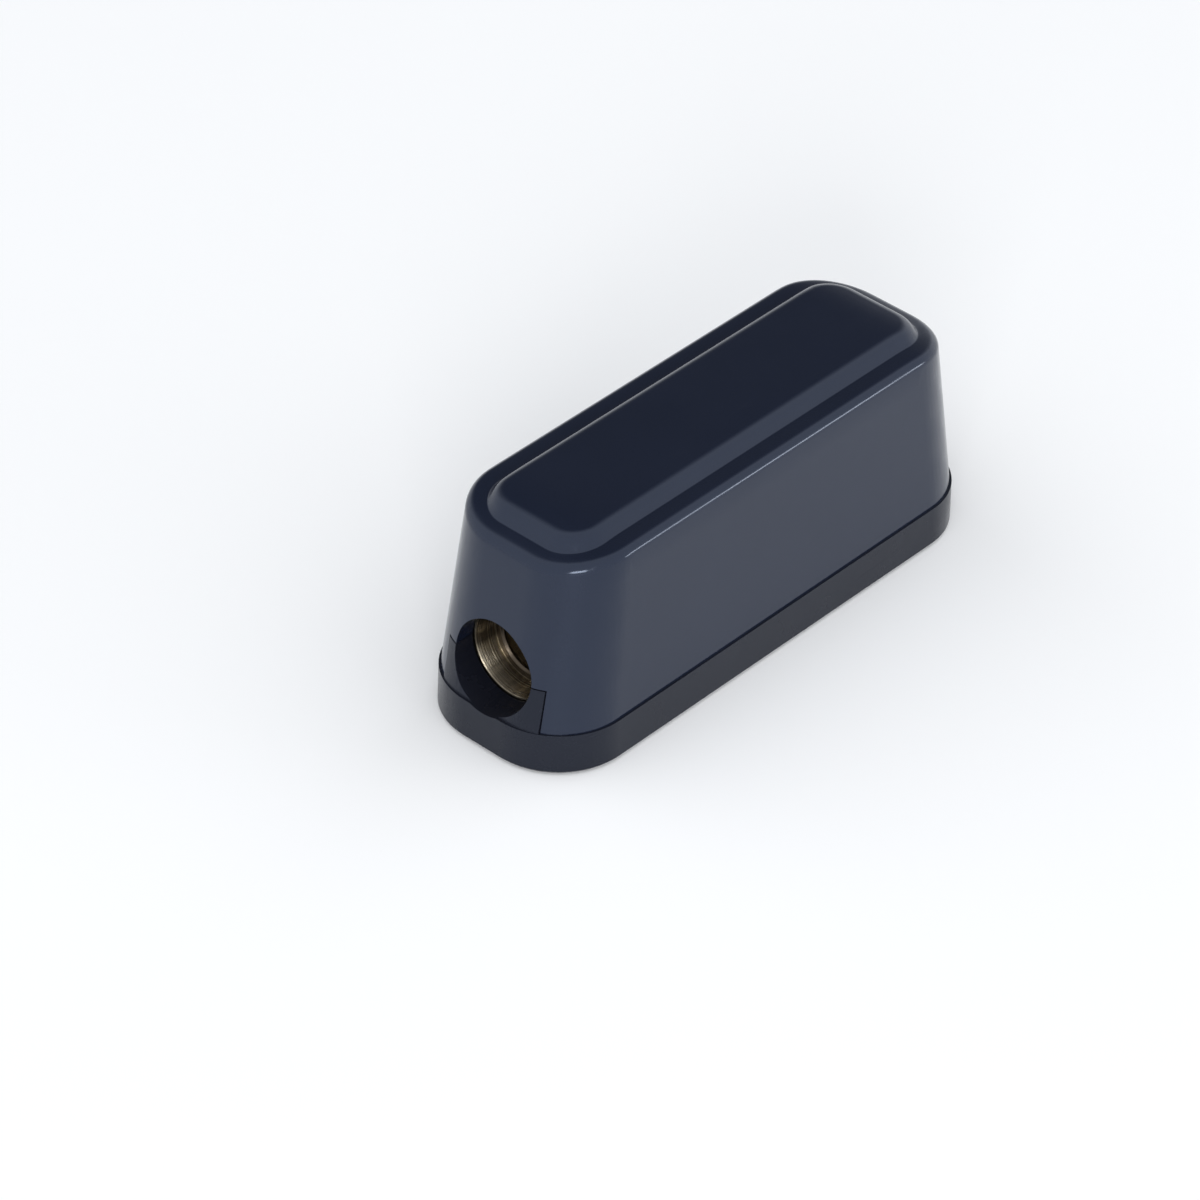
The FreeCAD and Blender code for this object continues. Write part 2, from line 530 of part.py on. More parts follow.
def make_base(outside):
    body = new_body("Tray")
    outline = rounded_outline(body, "BaseFoot", "0", "Sizes.base_length", "Sizes.base_width",
                              "Sizes.base_corner")
    plinth = pad(body, outline, "Sizes.seam_height", taper="-Sizes.base_draft")
    round_edges(body, plinth, "FootChamfer", "Sizes.foot_chamfer",
                lambda edge: near(edge.BoundBox.ZMax, 0), "Chamfer")
    inset = "2 * Sizes.recess_inset"
    recess = rounded_outline(body, "Recess", "0", "Sizes.base_length - " + inset,
                             "Sizes.base_width - " + inset, "Sizes.base_corner - Sizes.recess_inset")
    pocket(body, recess, "Sizes.recess_depth", up=True)
    end_inset = "(Sizes.lip_inset + Sizes.lip_height * tan(Sizes.end_lean))"
    side_inset = "(Sizes.lip_inset + Sizes.lip_height * tan(Sizes.side_lean))"
    lip = rounded_outline(body, "LipOutline", "Sizes.seam_height",
                          "Sizes.cover_length - 2 * " + end_inset,
                          "Sizes.cover_width - 2 * " + side_inset,
                          "Sizes.cover_corner - Sizes.lip_inset")
    pad(body, lip, "Sizes.lip_height")
    tray = rounded_outline(body, "TrayHollow", "Sizes.lip_top", "Sizes.cover_length - 2 * Sizes.tray_inset",
                           "Sizes.cover_width - 2 * Sizes.tray_inset",
                           "Sizes.cover_corner - Sizes.tray_inset")
    pocket(body, tray, "Sizes.lip_top - Sizes.floor_height")

    added = [body]
    cuts = []
    for side, sign in SIDES:
        def span(low, high):
            return (low, high) if sign > 0 else ("-(%s)" % high, "-(%s)" % low)

        across = ("-Sizes.entry_half", "Sizes.entry_half")
        blank = box("UprightBlank" + side, span("Sizes.entry_inner", "Sizes.base_length / 2"), across,
                    ("Sizes.seam_height", "Sizes.cable_axis"))
        added.append(common("Upright" + side, outside, blank))
        upright = span("Sizes.entry_inner", "Sizes.entry_inner + Sizes.cover_wall")
        added.append(box("UprightFoot" + side, upright, across,
                         ("Sizes.floor_height", "Sizes.cable_axis")))
        seat_half = "(Sizes.block_half_width + Sizes.cheek_gap + Sizes.cheek_wall)"
        added.append(box("Seat" + side, span("Sizes.tongue_end", "Sizes.entry_inner"),
                         ("-" + seat_half, seat_half), ("Sizes.floor_height - 1", "Sizes.seat_height")))
        for way in (1, -1):
            face = "(Sizes.block_half_width + Sizes.cheek_gap)"
            wall = (face, face + " + Sizes.cheek_wall")
            if way < 0:
                wall = ("-(%s + Sizes.cheek_wall)" % face, "-" + face)
            reach = span("Sizes.block_inner + Sizes.cheek_inset", "Sizes.block_outer - Sizes.cheek_inset")
            added.append(box("Cheek%s%d" % (side, way + 1), reach, wall,
                             ("Sizes.floor_height", "Sizes.seat_height + Sizes.cheek_rise")))
        place = "%d * Sizes.mount_pitch / 2" % sign
        added.append(cylinder("MountBoss" + side, place, "0", "Sizes.floor_height - 1",
                              "Sizes.mount_head_radius + Sizes.mount_boss_wall",
                              "Sizes.mount_boss_rise + 1"))
        cuts.append(cylinder("MountHole" + side, place, "0", "0", "Sizes.mount_radius",
                             "Sizes.seam_height"))
        sink = doc.addObject("Part::Cone", "MountSink" + side)
        sink.setExpression("Radius1", "Sizes.mount_radius")
        sink.setExpression("Radius2", "Sizes.mount_head_radius")
        sink.setExpression("Height", "Sizes.mount_sink")
        sink.setExpression("Placement.Base.x", place)
        sink.setExpression("Placement.Base.z", "Sizes.mount_boss_top - Sizes.mount_sink")
        cuts.append(sink)
        place = "%d * Sizes.block_screw_place" % sign
        cuts.append(cylinder("HeadPocket" + side, place, "0", "0",
                             "Sizes.block_head_radius + Sizes.block_head_gap", "Sizes.block_head_floor"))
        cuts.append(cylinder("ScrewHole" + side, place, "0", "0",
                             "Sizes.block_screw_radius + Sizes.screw_hole_gap", "Sizes.seam_height"))
    for side, sign in SIDES:
        for way in (1, -1):
            depth = "Sizes.cover_width / 2 - %s - Sizes.ridge_round + Sizes.ridge_proud" % side_inset
            added.append(cylinder("Ridge%s%d" % (side, way + 1),
                                  "%d * Sizes.ridge_place - Sizes.ridge_length / 2" % sign,
                                  "%d * (%s)" % (way, depth),
                                  "Sizes.seam_height + Sizes.lip_height / 2",
                                  "Sizes.ridge_round", "Sizes.ridge_length", ALONG_X))
    cuts.append(cylinder("BaseEntry", "-Sizes.base_length / 2", "0", "Sizes.cable_axis",
                         "Sizes.entry_radius", "Sizes.base_length", ALONG_X))
    keep("base", cut("Base", fuse("BaseSolid", added), fuse("BaseCuts", cuts)))


# Terminal: a machined block with a clamp for the cable and a tongue for the fuse

def make_terminal(side, sign):
    body = new_body("Terminal" + side)
    profile = polygon_sketch(body, "Profile" + side, "XZ_Plane", [
        ("Sizes.tongue_end", "Sizes.seat_height"),
        ("Sizes.block_outer", "Sizes.seat_height"),
        ("Sizes.block_outer", "Sizes.block_top"),
        ("Sizes.block_inner", "Sizes.block_top"),
        ("Sizes.block_inner", "Sizes.tongue_top"),
        ("Sizes.tongue_end", "Sizes.tongue_top"),
    ])
    solid = pad(body, profile, "2 * Sizes.block_half_width", both_ways=True)

    def in_corner(edge):
        point = middle(edge)
        return near(point.x, size("block_inner")) and near(point.z, size("tongue_top"))

    def outer_edge(edge):
        point = middle(edge)
        if near(point.z, size("seat_height")):
            return False
        ends = near(abs(point.y), size("block_half_width")) and near(point.x, size("block_outer"))
        tall = near(point.z, size("block_top"))
        tip = near(point.x, size("tongue_end")) and near(abs(point.y), size("block_half_width"))
        return ends or tall or tip

    rounded = round_edges(body, solid, "Root" + side, "Sizes.tongue_round", in_corner)
    round_edges(body, rounded, "Edges" + side, "Sizes.block_chamfer", outer_edge, "Chamfer")

    # Cable bore with its countersunk mouth
    bore = new_sketch(body, "Bore" + side, "XZ_Plane")
    points = [
        ("Sizes.block_outer", "0"),
        ("Sizes.block_outer", "Sizes.mouth_radius"),
        ("Sizes.block_outer - Sizes.mouth_depth", "Sizes.bore_radius"),
        ("Sizes.bore_end", "Sizes.bore_radius"),
        ("Sizes.bore_end", "0"),
    ]
    rough = [Vector(30, 0, 0), Vector(30, 6, 0), Vector(27, 4, 0), Vector(20, 4, 0), Vector(20, 0, 0)]
    for i in range(5):
        bore.addGeometry(Part.LineSegment(rough[i], rough[(i + 1) % 5]))
    for i in range(5):
        bore.addConstraint(Sketcher.Constraint("Coincident", i, 2, (i + 1) % 5, 1))
    for i, (along, out) in enumerate(points):
        bind(bore, Sketcher.Constraint("DistanceX", -1, 1, i, 1, rough[i].x), "along%d" % i, along)
        bind(bore, Sketcher.Constraint("DistanceY", -1, 1, i, 1, rough[i].y), "out%d" % i, out)
    bore.setExpression("AttachmentOffset.Base.y", "Sizes.cable_axis")
    before = body.Shape.Volume
    groove = body.newObject("PartDesign::Groove", "Drilled" + side)
    groove.Profile = bore
    groove.ReferenceAxis = (bore, ["H_Axis"])
    groove.Angle = 360
    doc.recompute()
    if groove.Shape.Volume > before - 100:
        raise RuntimeError("the cable bore cuts too little")

    def hole(name, along, radius, level, depth=None, up=False):
        sketch = new_sketch(body, name + side, "XY_Plane", level)
        sketch.addGeometry(Part.Circle(Vector(20, 0, 0), Vector(0, 0, 1), 2))
        sketch.addConstraint(Sketcher.Constraint("PointOnObject", 0, 3, -1))
        bind(sketch, Sketcher.Constraint("DistanceX", -1, 1, 0, 3, 20), "along", along)
        bind(sketch, Sketcher.Constraint("Radius", 0, 2), "radius", radius)
        pocket(body, sketch, depth, up)

    hole("ClampHole", "Sizes.clamp_place", "Sizes.clamp_screw_radius + Sizes.thread_gap",
         "Sizes.block_top", "Sizes.block_top - Sizes.cable_axis")
    hole("FuseHole", "Sizes.fuse_pitch / 2", "Sizes.fuse_screw_radius + Sizes.thread_gap", "0")
    hole("BlockHole", "Sizes.block_screw_place", "Sizes.block_screw_radius + Sizes.thread_gap",
         "Sizes.seat_height",
         "Sizes.block_screw_length - Sizes.seat_web + Sizes.block_screw_play", up=True)
    if sign < 0:
        body.Placement = Placement(Vector(0, 0, 0), Rotation(Vector(0, 0, 1), 180))
    keep("terminal_" + side, body)


# Screws and washers, each drawn on its own axis and then placed

def place(body, along, level):
    body.setExpression("Placement.Base.x", along)
    body.setExpression("Placement.Base.z", level)


def turned_body(name, points):
    """Revolved body whose half section runs from the axis out and back."""
    body = new_body(name)
    sketch = polygon_sketch(body, name + "Section", "XZ_Plane", points)
    revolve(body, sketch)
    return body


def make_clamp_screw(side, sign):
    body = turned_body("ClampScrew" + side, [
        ("0", "0"),
        ("Sizes.clamp_screw_radius - Sizes.clamp_point", "0"),
        ("Sizes.clamp_screw_radius", "Sizes.clamp_point"),
        ("Sizes.clamp_screw_radius", "Sizes.clamp_screw_length"),
        ("0", "Sizes.clamp_screw_length"),
    ])
    socket = hexagon_sketch(body, "ClampSocket" + side, "Sizes.clamp_screw_length",
                            "Sizes.clamp_socket")
    pocket(body, socket, "Sizes.clamp_socket_depth")
    place(body, "%d * Sizes.clamp_place" % sign, "Sizes.clamp_tip")
    keep("clamp_screw_" + side, body)


def make_fuse_screw(side, sign):
    body = turned_body("FuseScrew" + side, [
        ("0", "-Sizes.fuse_screw_length"),
        ("Sizes.fuse_screw_radius", "-Sizes.fuse_screw_length"),
        ("Sizes.fuse_screw_radius", "0"),
        ("Sizes.fuse_head_radius", "0"),
        ("Sizes.fuse_head_radius", "Sizes.fuse_head_height - Sizes.head_chamfer"),
        ("Sizes.fuse_head_radius - Sizes.head_chamfer", "Sizes.fuse_head_height"),
        ("0", "Sizes.fuse_head_height"),
    ])
    socket = hexagon_sketch(body, "FuseSocket" + side, "Sizes.fuse_head_height",
                            "Sizes.fuse_socket")
    pocket(body, socket, "Sizes.fuse_socket_depth")
    place(body, "%d * Sizes.fuse_pitch / 2" % sign, "Sizes.head_seat")
    keep("fuse_screw_" + side, body)


def make_washers(side, sign):
    hole = "Sizes.fuse_screw_radius + Sizes.washer_gap"
    flat = turned_body("FlatWasher" + side, [
        (hole, "0"),
        ("Sizes.flat_washer_radius", "0"),
        ("Sizes.flat_washer_radius", "Sizes.flat_washer_thickness"),
        (hole, "Sizes.flat_washer_thickness"),
    ])
    place(flat, "%d * Sizes.fuse_pitch / 2" % sign, "Sizes.link_top")
    keep("flat_washer_" + side, flat)
    spring = turned_body("SpringWasher" + side, [
        (hole, "0"),
        ("Sizes.spring_washer_radius", "0"),
        ("Sizes.spring_washer_radius", "Sizes.spring_washer_thickness"),
        (hole, "Sizes.spring_washer_thickness"),
    ])
    half = "Sizes.spring_washer_slot / 2"
    lean = "Sizes.spring_washer_thickness / 2"
    split = polygon_sketch(spring, "Split" + side, "XZ_Plane", [
        ("-%s - %s" % (half, lean), "0"),
        ("%s - %s" % (half, lean), "0"),
        ("%s + %s" % (half, lean), "Sizes.spring_washer_thickness"),
        ("-%s + %s" % (half, lean), "Sizes.spring_washer_thickness"),
    ])
    pocket(spring, split, "Sizes.spring_washer_radius + 1")
    place(spring, "%d * Sizes.fuse_pitch / 2" % sign, "Sizes.flat_washer_top")
    keep("spring_washer_" + side, spring)


def make_block_screw(side, sign):
    top = "Sizes.block_head_height"
    body = turned_body("BlockScrew" + side, [
        ("0", "0"),
        ("Sizes.block_head_radius - Sizes.block_head_crown", "0"),
        ("Sizes.block_head_radius", "Sizes.block_head_crown"),
        ("Sizes.block_head_radius", top),
        ("Sizes.block_screw_radius", top),
        ("Sizes.block_screw_radius", top + " + Sizes.block_screw_length"),
        ("0", top + " + Sizes.block_screw_length"),
    ])
    for name, long_way, short_way in (("CrossA", "Sizes.cross_reach", "Sizes.cross_width"),
                                      ("CrossB", "Sizes.cross_width", "Sizes.cross_reach")):
        right, back = long_way + " / 2", short_way + " / 2"
        left, front = "-" + right, "-" + back
        slot = polygon_sketch(body, name + side, "XY_Plane", [
            (left, front), (right, front), (right, back), (left, back)])
        pocket(body, slot, "Sizes.cross_depth", up=True)
    place(body, "%d * Sizes.block_screw_place" % sign, "Sizes.block_head_floor - " + top)
    keep("block_screw_" + side, body)


# Fuse: one stamped strip held between the two halves of its case

def make_fuse():
    strip = new_body("Strip")
    outline = rounded_outline(strip, "StripOutline", "Sizes.tongue_top", "Sizes.link_length",
                              "Sizes.link_width", "Sizes.link_corner")
    pad(strip, outline, "Sizes.link_thickness")
    holes = new_sketch(strip, "StripHoles", "XY_Plane", "Sizes.link_top")
    for i, x in enumerate((15, -15)):
        holes.addGeometry(Part.Circle(Vector(x, 0, 0), Vector(0, 0, 1), 2))
        holes.addConstraint(Sketcher.Constraint("PointOnObject", i, 3, -1))
    holes.addConstraint(Sketcher.Constraint("Equal", 0, 1))
    bind(holes, Sketcher.Constraint("DistanceX", -1, 1, 0, 3, 15), "right", "Sizes.fuse_pitch / 2")
    bind(holes, Sketcher.Constraint("DistanceX", 1, 3, -1, 1, 15), "left", "Sizes.fuse_pitch / 2")
    bind(holes, Sketcher.Constraint("Radius", 0, 2), "radius",
         "Sizes.fuse_screw_radius + Sizes.link_hole_play")
    pocket(strip, holes, "Sizes.link_thickness")
    for name, way in (("NotchBack", 1), ("NotchFront", -1)):
        inner, outer = "%d * Sizes.neck_width / 2" % way, "%d * Sizes.link_width" % way
        wide = "(Sizes.neck_length / 2 + Sizes.link_width / 2 - Sizes.neck_width / 2)"
        notch = polygon_sketch(strip, name, "XY_Plane", [
            ("-Sizes.neck_length / 2", inner),
            ("Sizes.neck_length / 2", inner),
            (wide, "%d * Sizes.link_width / 2" % way),
            (wide, outer),
            ("-" + wide, outer),
            ("-" + wide, "%d * Sizes.link_width / 2" % way),
        ], "Sizes.link_top")
        pocket(strip, notch, "Sizes.link_thickness")
    keep("fuse_strip", strip)

    for name, low, up in (("Lower", "Sizes.link_middle - Sizes.case_half_height", False),
                          ("Upper", "Sizes.link_middle", True)):
        case = new_body("Case" + name)
        outline = rounded_outline(case, name + "Outline", low, "Sizes.case_length",
                                  "Sizes.case_width", "Sizes.case_corner")
        block = pad(case, outline, "Sizes.case_half_height")
        far = size("tongue_top") + size("link_thickness") / 2
        far += size("case_half_height") if up else -size("case_half_height")
        round_edges(case, block, name + "Edge", "Sizes.case_chamfer",
                    lambda edge: near(edge.BoundBox.ZMin, far) and near(edge.BoundBox.ZMax, far), "Chamfer")
        slot = "(Sizes.link_width / 2 + Sizes.case_gap)"
        channel = polygon_sketch(case, name + "Slot", "XY_Plane", [
            ("-Sizes.case_length", "-" + slot), ("Sizes.case_length", "-" + slot),
            ("Sizes.case_length", slot), ("-Sizes.case_length", slot)], "Sizes.link_middle")
        pocket(case, channel, "Sizes.link_thickness / 2 + Sizes.case_gap", up=up)
        room = rounded_outline(case, name + "Room", "Sizes.link_middle",
                               "Sizes.case_length - 2 * Sizes.case_wall",
                               "Sizes.case_width - 2 * Sizes.case_wall", "Sizes.case_corner / 2")
        pocket(case, room, "Sizes.case_half_height - Sizes.case_wall", up=up)
        keep("fuse_case_" + name.lower(), case)


cover_outside = make_cover()
make_base(cover_outside)
for side, sign in SIDES:
    make_terminal(side, sign)
    make_clamp_screw(side, sign)
    make_fuse_screw(side, sign)
    make_washers(side, sign)
    make_block_screw(side, sign)
make_fuse()
doc.recompute()

for thing in doc.Objects:
    if "Invalid" in thing.State or "Error" in thing.State:
        raise RuntimeError("%s failed: %s" % (thing.Label, thing.State))
for node in nodes:
    shape = node.Shape
    if shape.isNull() or not shape.isValid() or not shape.Solids:
        raise RuntimeError(node.Label + " has no valid solid")
for node in nodes:
    node.Shape.exportStep("parts/%s.step" % node.Label)
    print("%-20s %d solid, %8.1f mm3" % (node.Label, len(node.Shape.Solids), node.Shape.Volume))
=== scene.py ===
import json
import math
import bmesh
import bpy
from mathutils import Matrix, Vector


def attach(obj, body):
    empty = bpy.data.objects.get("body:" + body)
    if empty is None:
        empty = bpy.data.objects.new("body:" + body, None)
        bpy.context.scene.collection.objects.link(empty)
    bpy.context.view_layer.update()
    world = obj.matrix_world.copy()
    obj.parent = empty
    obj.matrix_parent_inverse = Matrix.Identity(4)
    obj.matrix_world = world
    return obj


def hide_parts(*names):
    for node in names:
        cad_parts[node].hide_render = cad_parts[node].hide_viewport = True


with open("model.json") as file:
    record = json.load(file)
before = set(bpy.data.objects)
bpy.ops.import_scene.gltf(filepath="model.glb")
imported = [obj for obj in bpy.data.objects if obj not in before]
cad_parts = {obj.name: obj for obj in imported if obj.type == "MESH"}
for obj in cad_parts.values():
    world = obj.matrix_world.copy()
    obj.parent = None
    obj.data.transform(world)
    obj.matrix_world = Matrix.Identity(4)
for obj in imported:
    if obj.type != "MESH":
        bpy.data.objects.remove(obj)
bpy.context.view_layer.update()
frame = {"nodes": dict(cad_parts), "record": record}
print("frame loaded with", len(frame["nodes"]), "nodes")

# the pieces are shaped in millimetres and brought to metres when they are finished
perMetre = 1000
toMetres = Matrix.Scale(1 / perMetre, 4)
weld = 1e-4  # points closer than this are one point
cutSnap = 1e-5  # how near a point counts as on a cutting plane
pastFace = 1.0  # how far a cutting tool reaches past the face it cuts
cableAxis = 12.2  # height of the axis that both cables share
bodyOfNode = {node: body for body, nodes in frame["record"]["behaviour"]["bodies"].items() for node in nodes}
slotOfNode = {part["node"]: part["material_slot"] for part in frame["record"]["subparts"]}


# helpers for node trees

def addNode(tree, kind, **settings):
    node = tree.nodes.new(kind)
    for name, value in settings.items():
        setattr(node, name, value)
    return node


def link(tree, source, target):
    tree.links.new(source, target)


def objectPattern(tree, stretch=(1, 1, 1), turn=(0, 0, 0)):
    # Object coordinates in millimetres, stretched and turned
    coords = addNode(tree, "ShaderNodeTexCoord")
    mapping = addNode(tree, "ShaderNodeMapping")
    mapping.inputs["Scale"].default_value = [perMetre * s for s in stretch]
    mapping.inputs["Rotation"].default_value = [math.radians(t) for t in turn]
    link(tree, coords.outputs["Object"], mapping.inputs["Vector"])
    return mapping.outputs["Vector"]


def noise(tree, vector, scale, detail=3.0, roughness=0.5):
    node = addNode(tree, "ShaderNodeTexNoise")
    node.inputs["Scale"].default_value = scale
    node.inputs["Detail"].default_value = detail
    node.inputs["Roughness"].default_value = roughness
    link(tree, vector, node.inputs["Vector"])
    return node.outputs["Fac"]


def mapValue(tree, value, end, limits):
    node = addNode(tree, "ShaderNodeMapRange")
    node.inputs[end + " Min"].default_value = limits[0]
    node.inputs[end + " Max"].default_value = limits[1]
    link(tree, value, node.inputs["Value"])
    return node.outputs["Result"]


def ramp(tree, value, limits):
    return mapValue(tree, value, "From", limits)


def rangeOf(tree, value, limits):
    return mapValue(tree, value, "To", limits)


def mathOf(tree, operation, *values):
    node = addNode(tree, "ShaderNodeMath", operation=operation)
    for socket, value in zip(node.inputs, values):
        if isinstance(value, (int, float)):
            socket.default_value = value
        else:
            link(tree, value, socket)
    return node.outputs[0]


def vectorOf(tree, **parts):
    node = addNode(tree, "ShaderNodeCombineXYZ")
    for axis, value in parts.items():
        link(tree, value, node.inputs[axis])
    return node.outputs[0]


def mixColour(tree, factor, first, second):
    node = addNode(tree, "ShaderNodeMix", data_type="RGBA")
    for label, colour in (("A", first), ("B", second)):
        if isinstance(colour, tuple):
            node.inputs[label].default_value = (*colour, 1)
        else:
            link(tree, colour, node.inputs[label])
    link(tree, factor, node.inputs["Factor"])
    return node.outputs["Result"]


def mixValue(tree, factor, first):
    # the second value, input B, is left to the caller
    node = addNode(tree, "ShaderNodeMix", data_type="FLOAT")
    link(tree, factor, node.inputs["Factor"])
    link(tree, first, node.inputs["A"])
    return node


def newGroup(name, inputs, outputs):
    group = bpy.data.node_groups.new(name, "ShaderNodeTree")
    for label in inputs:
        socket = group.interface.new_socket(label, in_out="INPUT", socket_type="NodeSocketFloat")
        socket.default_value = 1.0
    for label in outputs:
        group.interface.new_socket(label, in_out="OUTPUT", socket_type="NodeSocketFloat")
    return group, addNode(group, "NodeGroupInput"), addNode(group, "NodeGroupOutput")


# effects that several finishes share

mouldedSurface = {"waveScale": 0.35, "waveDetail": 2.0, "fineScale": 9.0}


def makeMouldedSkin(s):
    # the faint waviness and the fine sparkle of a moulded surface
    group, given, out = newGroup("mouldedSkin", ["Wave", "Fine"], ["Height"])
    wave = noise(group, objectPattern(group), s["waveScale"], s["waveDetail"])
    fine = noise(group, objectPattern(group), s["fineScale"])
    waves = mathOf(group, "MULTIPLY", wave, given.outputs["Wave"])
    fines = mathOf(group, "MULTIPLY", fine, given.outputs["Fine"])
    link(group, mathOf(group, "ADD", waves, fines), out.inputs["Height"])
    return group


handledSurface = {
    "cloudScale": 0.09, "cloudDetail": 5.0, "cloudRoughness": 0.6, "cloudLimits": (0.45, 0.75),
    "hairs": ((24, 0.9), (-51, 0.7)),  # each with its turn in degrees and its scale
    "hairStretch": (0.02, 1.4, 1.4), "hairDetail": 2.0, "hairLimits": (0.66, 0.7),
    "patchScale": 0.16, "patchDetail": 1.0, "patchLimits": (0.5, 0.62),
}


def makeHandling(s):
    # smudges from hands and a few hair scratches in patches, as a mask
    group, given, out = newGroup("handling", ["Smudge", "Scratch"], ["Mask"])
    cloud = noise(group, objectPattern(group), s["cloudScale"], s["cloudDetail"], s["cloudRoughness"])
    total = mathOf(group, "MULTIPLY", ramp(group, cloud, s["cloudLimits"]), given.outputs["Smudge"])
    for turn, scale in s["hairs"]:
        hair = noise(group, objectPattern(group, s["hairStretch"], (0, 0, turn)), scale, s["hairDetail"])
        patch = noise(group, objectPattern(group), s["patchScale"] * scale, s["patchDetail"])
        hair, patch = ramp(group, hair, s["hairLimits"]), ramp(group, patch, s["patchLimits"])
        scratch = mathOf(group, "MULTIPLY", mathOf(group, "MULTIPLY", hair, patch), given.outputs["Scratch"])
        total = mathOf(group, "ADD", total, scratch)
    link(group, total, out.inputs["Mask"])
    return group


cutSurface = {"lineStretch": (0.12, 5.0, 5.0), "lineScale": 1.6, "lineDetail": 4.0, "lineRoughness": 0.7,
              "toneScale": 0.22}


def makeToolMarks(s):
    # fine lines that a cutter leaves along X, with broad tone beside them
    group, given, out = newGroup("toolMarks", ["Along"], ["Lines", "Tone"])
    lines = noise(group, objectPattern(group, s["lineStretch"]), s["lineScale"], s["lineDetail"],
                  s["lineRoughness"])
    link(group, mathOf(group, "MULTIPLY", lines, given.outputs["Along"]), out.inputs["Lines"])
    link(group, noise(group, objectPattern(group), s["toneScale"]), out.inputs["Tone"])
    return group


mouldedSkin = makeMouldedSkin(mouldedSurface)
handling = makeHandling(handledSurface)
toolMarks = makeToolMarks(cutSurface)
print("shared effects made")


# finishes, with bump depths in metres

def startMaterial(name):
    material = bpy.data.materials.new(name)
    material.use_nodes = True
    tree = material.node_tree
    return material, tree, tree.nodes["Principled BSDF"]


def useGroup(tree, group, **values):
    node = addNode(tree, "ShaderNodeGroup", node_tree=group)
    for name, value in values.items():
        node.inputs[name].default_value = value
    return node.outputs


def addBump(tree, shader, height, strength, depth):
    bump = addNode(tree, "ShaderNodeBump")
    bump.inputs["Strength"].default_value = strength
    bump.inputs["Distance"].default_value = depth
    link(tree, height, bump.inputs["Height"])
    link(tree, bump.outputs["Normal"], shader.inputs["Normal"])


housingFinish = {"cloudScale": 0.12, "sheen": (0.7, 0.8, 1.0), "bump": 0.35, "bumpDepth": 0.00004}
coverFinish = {
    "dark": (0.0055, 0.0085, 0.02), "light": (0.008, 0.0115, 0.025), "polish": (0.13, 0.32),
    "shine": 0.55, "smudge": 0.4, "scratch": 0.5, "wave": 0.7, "fine": 0.25, **housingFinish,
}
baseFinish = {
    "dark": (0.0065, 0.0075, 0.0125), "light": (0.0095, 0.0105, 0.0165), "polish": (0.24, 0.45),
    "shine": 0.3, "smudge": 0.6, "scratch": 0.4, "wave": 0.8, "fine": 0.7, **housingFinish,
}


def blackPlastic(name, f):
    material, tree, shader = startMaterial(name)
    cloud = noise(tree, objectPattern(tree), f["cloudScale"])
    marks = useGroup(tree, handling, Smudge=f["smudge"], Scratch=f["scratch"])
    skin = useGroup(tree, mouldedSkin, Wave=f["wave"], Fine=f["fine"])
    shader.inputs["Specular IOR Level"].default_value = f["shine"]
    shader.inputs["Specular Tint"].default_value = (*f["sheen"], 1)
    link(tree, mixColour(tree, cloud, f["dark"], f["light"]), shader.inputs["Base Color"])
    link(tree, rangeOf(tree, marks["Mask"], f["polish"]), shader.inputs["Roughness"])
    addBump(tree, shader, skin["Height"], f["bump"], f["bumpDepth"])
    return material


zincFinish = {"dark": (0.5, 0.5, 0.52), "light": (0.62, 0.61, 0.58), "polish": (0.22, 0.46), "along": 0.6,
              "bump": 0.25, "bumpDepth": 0.00003}
tinFinish = {"dark": (0.6, 0.6, 0.58), "light": (0.72, 0.71, 0.67), "polish": (0.26, 0.5), "along": 1.0,
             "bump": 0.3, "bumpDepth": 0.00003}


def platedMetal(name, f):
    material, tree, shader = startMaterial(name)
    marks = useGroup(tree, toolMarks, Along=f["along"])
    shader.inputs["Metallic"].default_value = 1.0
    link(tree, mixColour(tree, marks["Tone"], f["dark"], f["light"]), shader.inputs["Base Color"])
    link(tree, rangeOf(tree, marks["Lines"], f["polish"]), shader.inputs["Roughness"])
    addBump(tree, shader, marks["Lines"], f["bump"], f["bumpDepth"])
    return material


blueFinish = {"dark": (0.012, 0.05, 0.22), "light": (0.018, 0.07, 0.28), "polish": (0.3, 0.42),
              "cloudScale": 0.3, "wave": 0.6, "fine": 1.0, "bump": 0.3, "bumpDepth": 0.00004}


def casePlastic(name, f):
    material, tree, shader = startMaterial(name)
    cloud = noise(tree, objectPattern(tree), f["cloudScale"])
    skin = useGroup(tree, mouldedSkin, Wave=f["wave"], Fine=f["fine"])
    link(tree, mixColour(tree, cloud, f["dark"], f["light"]), shader.inputs["Base Color"])
    link(tree, rangeOf(tree, cloud, f["polish"]), shader.inputs["Roughness"])
    addBump(tree, shader, skin["Height"], f["bump"], f["bumpDepth"])
    return material


windowFinish = {"tint": (0.93, 0.96, 1.0), "polish": (0.03, 0.1), "transmission": 0.92, "refraction": 1.49,
                "cloudScale": 0.3, "wave": 0.5, "fine": 0.2, "bump": 0.2, "bumpDepth": 0.00003}


def clearPlastic(name, f):
    material, tree, shader = startMaterial(name)
    cloud = noise(tree, objectPattern(tree), f["cloudScale"])
    skin = useGroup(tree, mouldedSkin, Wave=f["wave"], Fine=f["fine"])
    shader.inputs["Base Color"].default_value = (*f["tint"], 1)
    shader.inputs["Transmission Weight"].default_value = f["transmission"]
    shader.inputs["IOR"].default_value = f["refraction"]
    link(tree, rangeOf(tree, cloud, f["polish"]), shader.inputs["Roughness"])
    addBump(tree, shader, skin["Height"], f["bump"], f["bumpDepth"])
    return material


